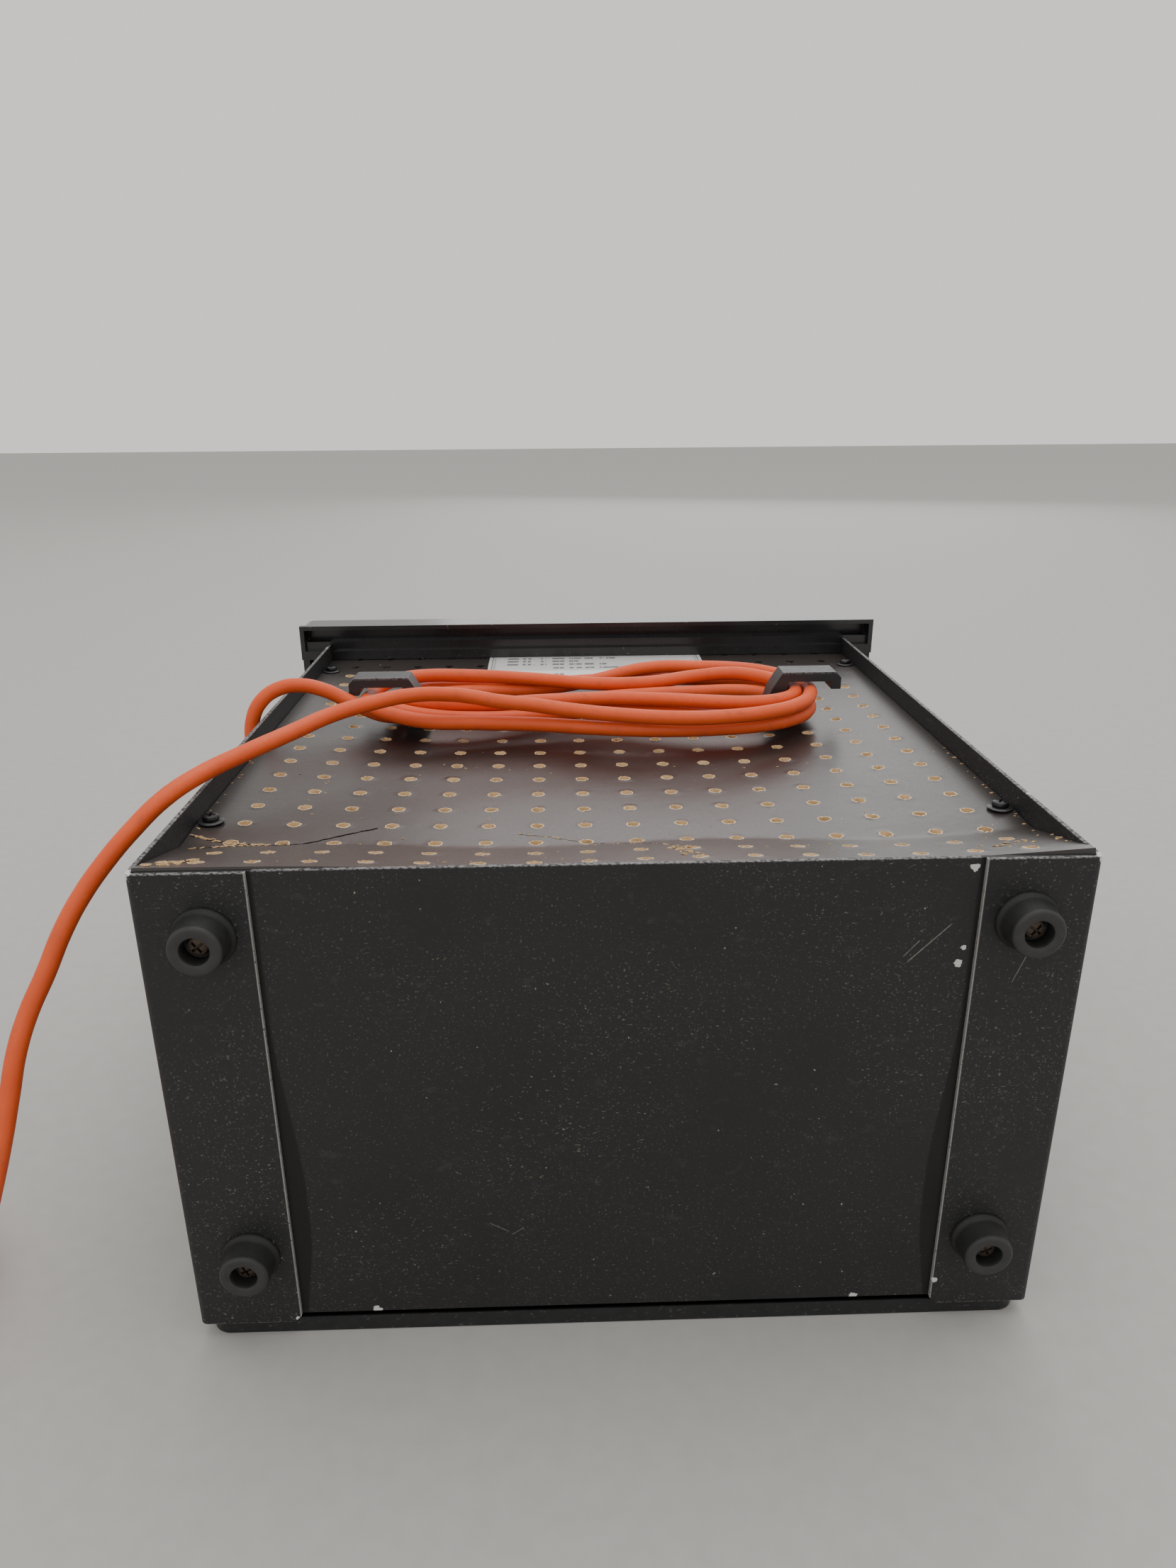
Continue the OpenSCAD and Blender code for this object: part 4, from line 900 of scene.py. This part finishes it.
# ---- Moulded top ----
# A glossy black moulding that overhangs the case. Under the overhang at the back it has a
# tray-like recess with a rounded rim, a deep groove behind and a shallow step in front.
TRAY_RIM = 2.6
moulding_low, moulding_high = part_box("top_moulding")
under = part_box("side_panel_left")[1].y
rear = moulding_high.z
rim_low = board_high.z + 0.3 * MM
moulding = softened("top_moulding", 0.01, 1)
combine(moulding,
        block((moulding_low.x, under - 3 * MM, rim_low), (moulding_high.x, under + 1 * MM, rear)), "UNION")
tray_x = moulding_high.x - TRAY_RIM * MM
combine(moulding,
        block((-tray_x, under - 9 * MM, rear - 10.5 * MM),
              (tray_x, under + 7.5 * MM, rear - TRAY_RIM * MM)),
        "DIFFERENCE")
combine(moulding,
        block((-tray_x, under - 9 * MM, rim_low + 5.5 * MM), (tray_x, under + 0.4 * MM, rear - 10 * MM)),
        "DIFFERENCE")
apply_modifier(moulding, "BEVEL", width=1.3 * MM, segments=3, limit_method="ANGLE",
               angle_limit=math.radians(35),
               use_clamp_overlap=True)
bpy.ops.object.shade_smooth_by_angle(angle=math.radians(40))
apply_modifier(moulding, "WEIGHTED_NORMAL", keep_sharp=True)


def gloss_finish():
    """Black gloss moulding with shallow waves, scuffed to grey along its rims."""
    finish = Finish("black_gloss_moulding", {"Specular IOR Level": 0.55, "Coat Roughness": 0.1})
    cloud = finish.noise(20, 4)
    scuffs = finish.above(finish.noise(1.2, 5, (0.35, 1, 1)), 0.66, 0.74)
    rim = 1 - finish.above(finish.place("Y"), under - 2.6 * MM, under - 2 * MM)
    colour = finish.mix(cloud, (0.0075, 0.008, 0.009), (0.013, 0.013, 0.0145))
    colour = finish.mix(scuffs * (0.12 + 0.5 * rim), colour, (0.30, 0.28, 0.26))
    finish.feed("Base Color", colour)
    finish.feed("Roughness", 0.2 + 0.16 * cloud + 0.3 * scuffs)
    finish.feed("Coat Weight", 0.3 * cloud)
    finish.bump(finish.noise(16, 2) + 0.05 * finish.noise(0.5, 2), 0.07)
    return finish.material


gloss = gloss_finish()
fitted(moulding, gloss, "moulding_plastic", "top_moulding")

# ---- Carried-over hidden parts ----
# Parts inside the case that are right as designed keep their shape and get a finish of their own:
# rails, baffle, loudspeaker, motor, transformer, amplifier board and their screws.


def finished(node, width, segments, finish, slot, body="case"):
    """Rounds a part of the design and gives it its finish, with nothing added."""
    fitted(softened(node, width, segments), finish, slot, node, body=body)


def carried(finish, *nodes):
    """Gives parts of the design a finish in place of the plain one."""
    for node in nodes:
        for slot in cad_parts[node].material_slots:
            slot.material = finish


HIDDEN_FINISHES = (
    ("pine", (0.34, 0.21, 0.10), (0.52, 0.35, 0.18),
     {"roughness": 0.65, "patch": 7, "grain": 0.9, "depth": 0.1}, ("back_rails",)),
    ("birch_ply", (0.30, 0.20, 0.11), (0.44, 0.31, 0.18),
     {"roughness": 0.6, "patch": 12, "grain": 0.8, "depth": 0.08}, ("baffle_board",)),
    ("basket_lacquer", (0.03, 0.03, 0.03), (0.055, 0.055, 0.055),
     {"roughness": 0.4, "metal": 0.5, "wear": 0.3}, ("speaker_basket",)),
    ("cone_pulp", (0.016, 0.015, 0.014), (0.034, 0.031, 0.029),
     {"roughness": 0.85, "patch": 5, "grain": 0.6, "depth": 0.12}, ("speaker_cone",)),
    ("surround_rubber", (0.011, 0.011, 0.011), (0.02, 0.02, 0.02), {"roughness": 0.5, "patch": 6},
     ("speaker_surround",)),
    ("magnet_ferrite", (0.05, 0.05, 0.052), (0.09, 0.09, 0.092),
     {"roughness": 0.55, "metal": 0.3, "patch": 3, "grain": 0.5, "depth": 0.05, "wear": 0.2},
     ("speaker_magnet",)),
    ("plated_screws", (0.32, 0.31, 0.28), (0.52, 0.50, 0.45),
     {"roughness": 0.35, "metal": 0.95, "patch": 1.5, "wear": 0.2},
     ("hook_screws", "moulding_screws", "speaker_screws",)),
    ("motor_can", (0.36, 0.36, 0.36), (0.52, 0.52, 0.51),
     {"roughness": 0.3, "metal": 0.95, "patch": 6, "wear": 0.1}, ("deck_motor",)),
    ("pot_can", (0.40, 0.39, 0.36), (0.58, 0.57, 0.53),
     {"roughness": 0.35, "metal": 0.9, "patch": 4, "wear": 0.1}, ("potentiometers",)),
    ("core_laminations", (0.06, 0.055, 0.05), (0.13, 0.12, 0.11),
     {"roughness": 0.5, "metal": 0.8, "patch": 2, "grain": 0.3, "depth": 0.08, "wear": 0.2},
     ("transformer_core",)),
    ("coil_tape", (0.42, 0.28, 0.05), (0.60, 0.42, 0.10), {"roughness": 0.45, "patch": 5},
     ("transformer_coil",)),
    ("board_lacquer", (0.015, 0.075, 0.03), (0.03, 0.13, 0.05), {"roughness": 0.35, "patch": 6},
     ("amplifier_board",)),
    ("sink_anodising", (0.018, 0.018, 0.02), (0.04, 0.04, 0.042),
     {"roughness": 0.45, "metal": 0.6, "patch": 4, "wear": 0.15}, ("heat_sink",)),
    ("capacitor_sleeve", (0.015, 0.03, 0.075), (0.03, 0.055, 0.12), {"roughness": 0.35, "patch": 4},
     ("capacitors",)),
)
for name, dark, light, settings, nodes in HIDDEN_FINISHES:
    carried(plain_finish(name, dark, light, **settings), *nodes)

# ---- Control panel ----
# A satin black panel let into the top moulding. A ring of silver ticks round each knob shows
# how far it is turned.
panel_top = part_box("control_panel")[1].y
INK_H = 0.12
SUNK = 0.02
TICKS = 11
KNOB_SWEEP = 300
upwards = Matrix.Rotation(math.radians(-90), 4, "X")
panel_finish = plain_finish("panel_satin", (0.011, 0.011, 0.012), (0.019, 0.019, 0.0205), 0.4, patch=14,
                            grain=0.35,
                            depth=0.035, wear=0.15)
finished("control_panel", 0.5, 2, panel_finish, "panel_plastic")
silver = plain_finish("silver_print", (0.50, 0.50, 0.49), (0.68, 0.68, 0.66), 0.4, patch=3, wear=0.1)


def centre(node):
    """The middle of a part's top face, in metres."""
    low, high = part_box(node)
    return Vector(((low.x + high.x) / 2, high.y, (low.z + high.z) / 2))


def flat_mark(corners, radius, stretch=(1, 1), turn=0, shift=(0, 0)):
    """A thin flat shape, in millimetres, with this many corners, lying on a plane that faces up."""
    bpy.ops.object.select_all(action="DESELECT")
    bpy.ops.mesh.primitive_cylinder_add(vertices=corners, radius=radius * MM, depth=INK_H * MM)
    piece = bpy.context.object
    piece.data.transform(Matrix.Translation((shift[0] * MM, shift[1] * MM, INK_H / 2 * MM))
                         @ Matrix.Diagonal((stretch[0], stretch[1], 1, 1))
                         @ Matrix.Rotation(math.radians(turn), 4, "Z"))
    return piece


KNOBS = ("knob_volume", "knob_bass", "knob_treble", "knob_microphone")
tick_places = []
for knob in KNOBS:
    spot = centre(knob)
    for step in range(TICKS):
        turn = Matrix.Rotation(math.radians(KNOB_SWEEP * (step / (TICKS - 1) - 0.5)), 4, "Y")
        tick_places.append(Matrix.Translation((spot.x, panel_top - SUNK * MM, spot.z)) @ turn @ upwards)
ticks = set_out("knob_ticks", flat_mark(4, 1.1, (0.35, 1.2), 45, (0, 13.2)), tick_places)
fitted(ticks, silver, "knob_plastic")

# ---- Cassette well and lid ----
# A deep tray with a hinged lid, whose clear window shows the two spindles. The lid is satin
# black, scuffed by fingers at its front edge.
finished("cassette_well", 0.6, 2,
         plain_finish("well_plastic", (0.009, 0.009, 0.0095), (0.016, 0.016, 0.017), 0.5), "well_plastic")
finished("cassette_lid", 0.8, 3,
         plain_finish("lid_satin", (0.012, 0.012, 0.013), (0.022, 0.022, 0.024), 0.3, patch=12,
                      wear=0.25), "lid_plastic", body="lid")


def window_finish():
    """Clear smoked acrylic with a faint haze of scratches."""
    finish = Finish("lid_window", {"Transmission Weight": 0.85, "IOR": 1.49})
    haze = finish.noise(3, 5, (1, 0.2, 0.2))
    finish.feed("Base Color", finish.mix(haze, (0.30, 0.31, 0.33), (0.44, 0.45, 0.47)))
    finish.feed("Roughness", 0.05 + 0.12 * haze)
    return finish.material


finished("lid_window", 0.4, 2, window_finish(), "lid_window_clear", body="lid")
pin_finish = plain_finish("hinge_pin", (0.42, 0.42, 0.41), (0.60, 0.60, 0.58), 0.25, 0.95, 2)
carried(pin_finish, "lid_hinge_pin")
spindle_finish = plain_finish("spindle_plastic", (0.50, 0.50, 0.48), (0.64, 0.64, 0.61), 0.4, patch=3)
for name in ("supply_spindle", "takeup_spindle"):
    finished(name, 0.25, 2, spindle_finish, "spindle_plastic", body=name)

# ---- Cassette keys ----
# Six piano keys in a row, red for record and grey for the rest, each with a raised plain mark
# for what it does.
grey_key = plain_finish("key_grey", (0.10, 0.10, 0.105), (0.15, 0.15, 0.155), 0.38, patch=5, wear=0.25)
red_key = plain_finish("key_red", (0.34, 0.012, 0.010), (0.48, 0.022, 0.016), 0.35, patch=5, wear=0.1)
KEY_MARKS = {"key_record": [(24, 3, (1, 1), 0, (0, 0))],
             "key_play": [(3, 3.6, (1, 1), 90, (0, 0))],
             "key_rewind": [(3, 2.8, (1, 1), -90, (-1.9, 0)), (3, 2.8, (1, 1), -90, (2.3, 0))],
             "key_forward": [(3, 2.8, (1, 1), 90, (1.9, 0)), (3, 2.8, (1, 1), 90, (-2.3, 0))],
             "key_stop": [(4, 3.8, (1, 1), 45, (0, 0))],
             "key_pause": [(4, 3.8, (0.32, 1), 45, (-1.8, 0)), (4, 3.8, (0.32, 1), 45, (1.8, 0))]}
for key, shapes in KEY_MARKS.items():
    red = key == "key_record"
    finished(key, 1.1, 3, red_key if red else grey_key, "key_red" if red else "key_grey", body=key)
    marks = [flat_mark(*shape) for shape in shapes]
    only(marks[0])
    for other in marks:
        other.select_set(True)
    if len(marks) > 1:
        bpy.ops.object.join()
    marks[0].name = key + "_mark"
    marks[0].data.transform(Matrix.Translation(centre(key) - Vector((0, SUNK * MM, 0))) @ upwards)
    fitted(marks[0], silver, "key_red" if red else "key_grey", body=key)

# ---- Knobs ----
# Four knurled black knobs with a silver pointer line.
knob_finish = plain_finish("knob_plastic", (0.010, 0.010, 0.011), (0.022, 0.022, 0.023), 0.42, patch=3,
                           wear=0.2)
for knob in KNOBS:
    finished(knob, 0.5, 3, knob_finish, "knob_plastic", body=knob)
    pointer = flat_mark(4, 3.4, (0.18, 1), 45, (0, 6))
    pointer.name = knob + "_pointer"
    pointer.data.transform(Matrix.Translation(centre(knob) - Vector((0, SUNK * MM, 0))) @ upwards)
    fitted(pointer, silver, "knob_plastic", body=knob)

# ---- Sockets, switch, lamp and fuse ----
# Jack sockets with plated collars, a red rocker in a black bezel, an amber lamp and a screw-in
# fuse holder.
finished("jack_sockets", 0.35, 2,
         plain_finish("socket_plastic", (0.03, 0.03, 0.032), (0.06, 0.06, 0.062), 0.3, 0.3, wear=0.3),
         "socket_plastic")
finished("switch_bezel", 0.6, 2,
         plain_finish("switch_plastic", (0.012, 0.012, 0.012), (0.02, 0.02, 0.021), 0.35), "switch_plastic")
finished("switch_rocker", 0.7, 3,
         plain_finish("rocker_red", (0.42, 0.012, 0.010), (0.58, 0.025, 0.018), 0.25, patch=6,
                      wear=0.1), "rocker_red", body="rocker")
finished("power_lamp", 0.5, 3,
         plain_finish("lamp_amber", (0.62, 0.22, 0.02), (0.85, 0.36, 0.05), 0.15, patch=3), "lamp_amber")
finished("fuse_holder", 0.5, 2,
         plain_finish("fuse_plastic", (0.012, 0.012, 0.012), (0.022, 0.022, 0.022), 0.4), "fuse_plastic")
carried(plain_finish("panel_screws", (0.03, 0.03, 0.031), (0.07, 0.07, 0.072), 0.3, 0.7, 1.2, wear=0.3),
        "panel_screws")

# ---- Strain relief ----
# A tapered rubber sleeve that leads the cord out of the left side.
finished("strain_relief", 0.4, 2,
         plain_finish("gland_rubber", (0.010, 0.010, 0.010), (0.02, 0.02, 0.02), 0.6, wear=0.15),
         "gland_rubber")

# ---- Front grille ----
# A pressed steel pan over the loudspeaker, punched all over with round holes in staggered rows.
# It is sprayed black and rubbed bare along its rolled edge.
GRILLE_PITCH = 7.15
GRILLE_HOLE = 2.1
GRILLE_BORDER = 12
GRILLE_T = 0.8
grille_low, grille_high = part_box("front_grille")


def punched_cell(width, height, radius):
    """A flat rectangle with a round hole in its middle, made of eight faces."""
    bpy.ops.object.select_all(action="DESELECT")
    bpy.ops.mesh.primitive_circle_add(vertices=8, radius=radius)
    cell = bpy.context.object
    bpy.ops.object.mode_set(mode="EDIT")
    bpy.ops.mesh.select_all(action="SELECT")
    bpy.ops.mesh.extrude_region_move()
    bpy.ops.transform.resize(value=(2, 2, 1), center_override=(0, 0, 0))
    bpy.ops.object.mode_set(mode="OBJECT")
    for vertex in cell.data.vertices:
        if vertex.co.length > radius * 1.5:
            sides = [0 if abs(value) < radius * 0.1 else math.copysign(0.5,
                    value) for value in vertex.co[:2]]
            vertex.co = (sides[0] * width, sides[1] * height, 0)
    return cell


def punched_sheet(low, high):
    """A punched sheet between two corners, with every second row of holes moved half a pitch."""
    across = GRILLE_PITCH * MM
    down = across * math.sqrt(3) / 2
    columns = int((high.x - low.x) / across - 0.5)
    rows = int((high.y - low.y) / down / 2)
    corner = Vector(((low.x + high.x - (columns - 0.5) * across) / 2,
                     (low.y + high.y - (2 * rows - 1) * down) / 2, low.z))
    cell = punched_cell(across, down, GRILLE_HOLE * MM)
    places = [Matrix.Translation(corner), Matrix.Translation(corner + Vector((across / 2, down, 0)))]
    sheet = set_out("punched_sheet", cell, places)
    apply_modifier(sheet, "ARRAY", count=columns, use_relative_offset=False, use_constant_offset=True,
                   constant_offset_displace=(across, 0, 0))
    apply_modifier(sheet, "ARRAY", count=rows, use_relative_offset=False, use_constant_offset=True,
                   constant_offset_displace=(0, 2 * down, 0))
    bpy.ops.object.mode_set(mode="EDIT")
    bpy.ops.mesh.select_all(action="SELECT")
    bpy.ops.mesh.remove_doubles(threshold=0.01 * MM)
    bpy.ops.mesh.normals_make_consistent(inside=False)
    bpy.ops.object.mode_set(mode="OBJECT")
    apply_modifier(sheet, "SOLIDIFY", thickness=GRILLE_T * MM, offset=0)
    return sheet


grille_paint = plain_finish("grille_paint", (0.014, 0.014, 0.015), (0.03, 0.03, 0.031), 0.38, 0.3, 5,
                            0.4, 0.05, 0.35)
border = Vector((GRILLE_BORDER * MM, GRILLE_BORDER * MM, 0))
window_low = Vector((grille_low.x, grille_low.y, grille_low.z - MM)) + border
window_high = Vector((grille_high.x, grille_high.y, grille_low.z + 3 * MM)) - border
pan = softened("front_grille", 0.3, 2)
combine(pan, block(window_low, window_high), "DIFFERENCE")
fitted(pan, grille_paint, "grille_steel", "front_grille")
overlap = border * 0.4
sheet_low = Vector((window_low.x, window_low.y, grille_low.z + 0.5 * MM)) - overlap
punched = punched_sheet(sheet_low, window_high + overlap)
fitted(punched, grille_paint, "grille_steel")

# ---- Plug ----
# A moulded plug on its back at the end of the cord, with three brass pins.
plug = softened("plug_body", 2.2, 4)
fitted(plug, plain_finish("plug_plastic", (0.012, 0.012, 0.013), (0.022, 0.022, 0.023), 0.42, wear=0.2),
       "plug_plastic", "plug_body")
pins = softened("plug_pins", 0.4, 2)
fitted(pins, plain_finish("pin_brass", (0.50, 0.33, 0.12), (0.66, 0.46, 0.19), 0.28, 1.0, wear=0.2),
       "pin_brass", "plug_pins")
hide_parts("cord_lead", "cord_hank", "cord_run", "cord_coil", "cord_tail")
at(*LEAD[0])
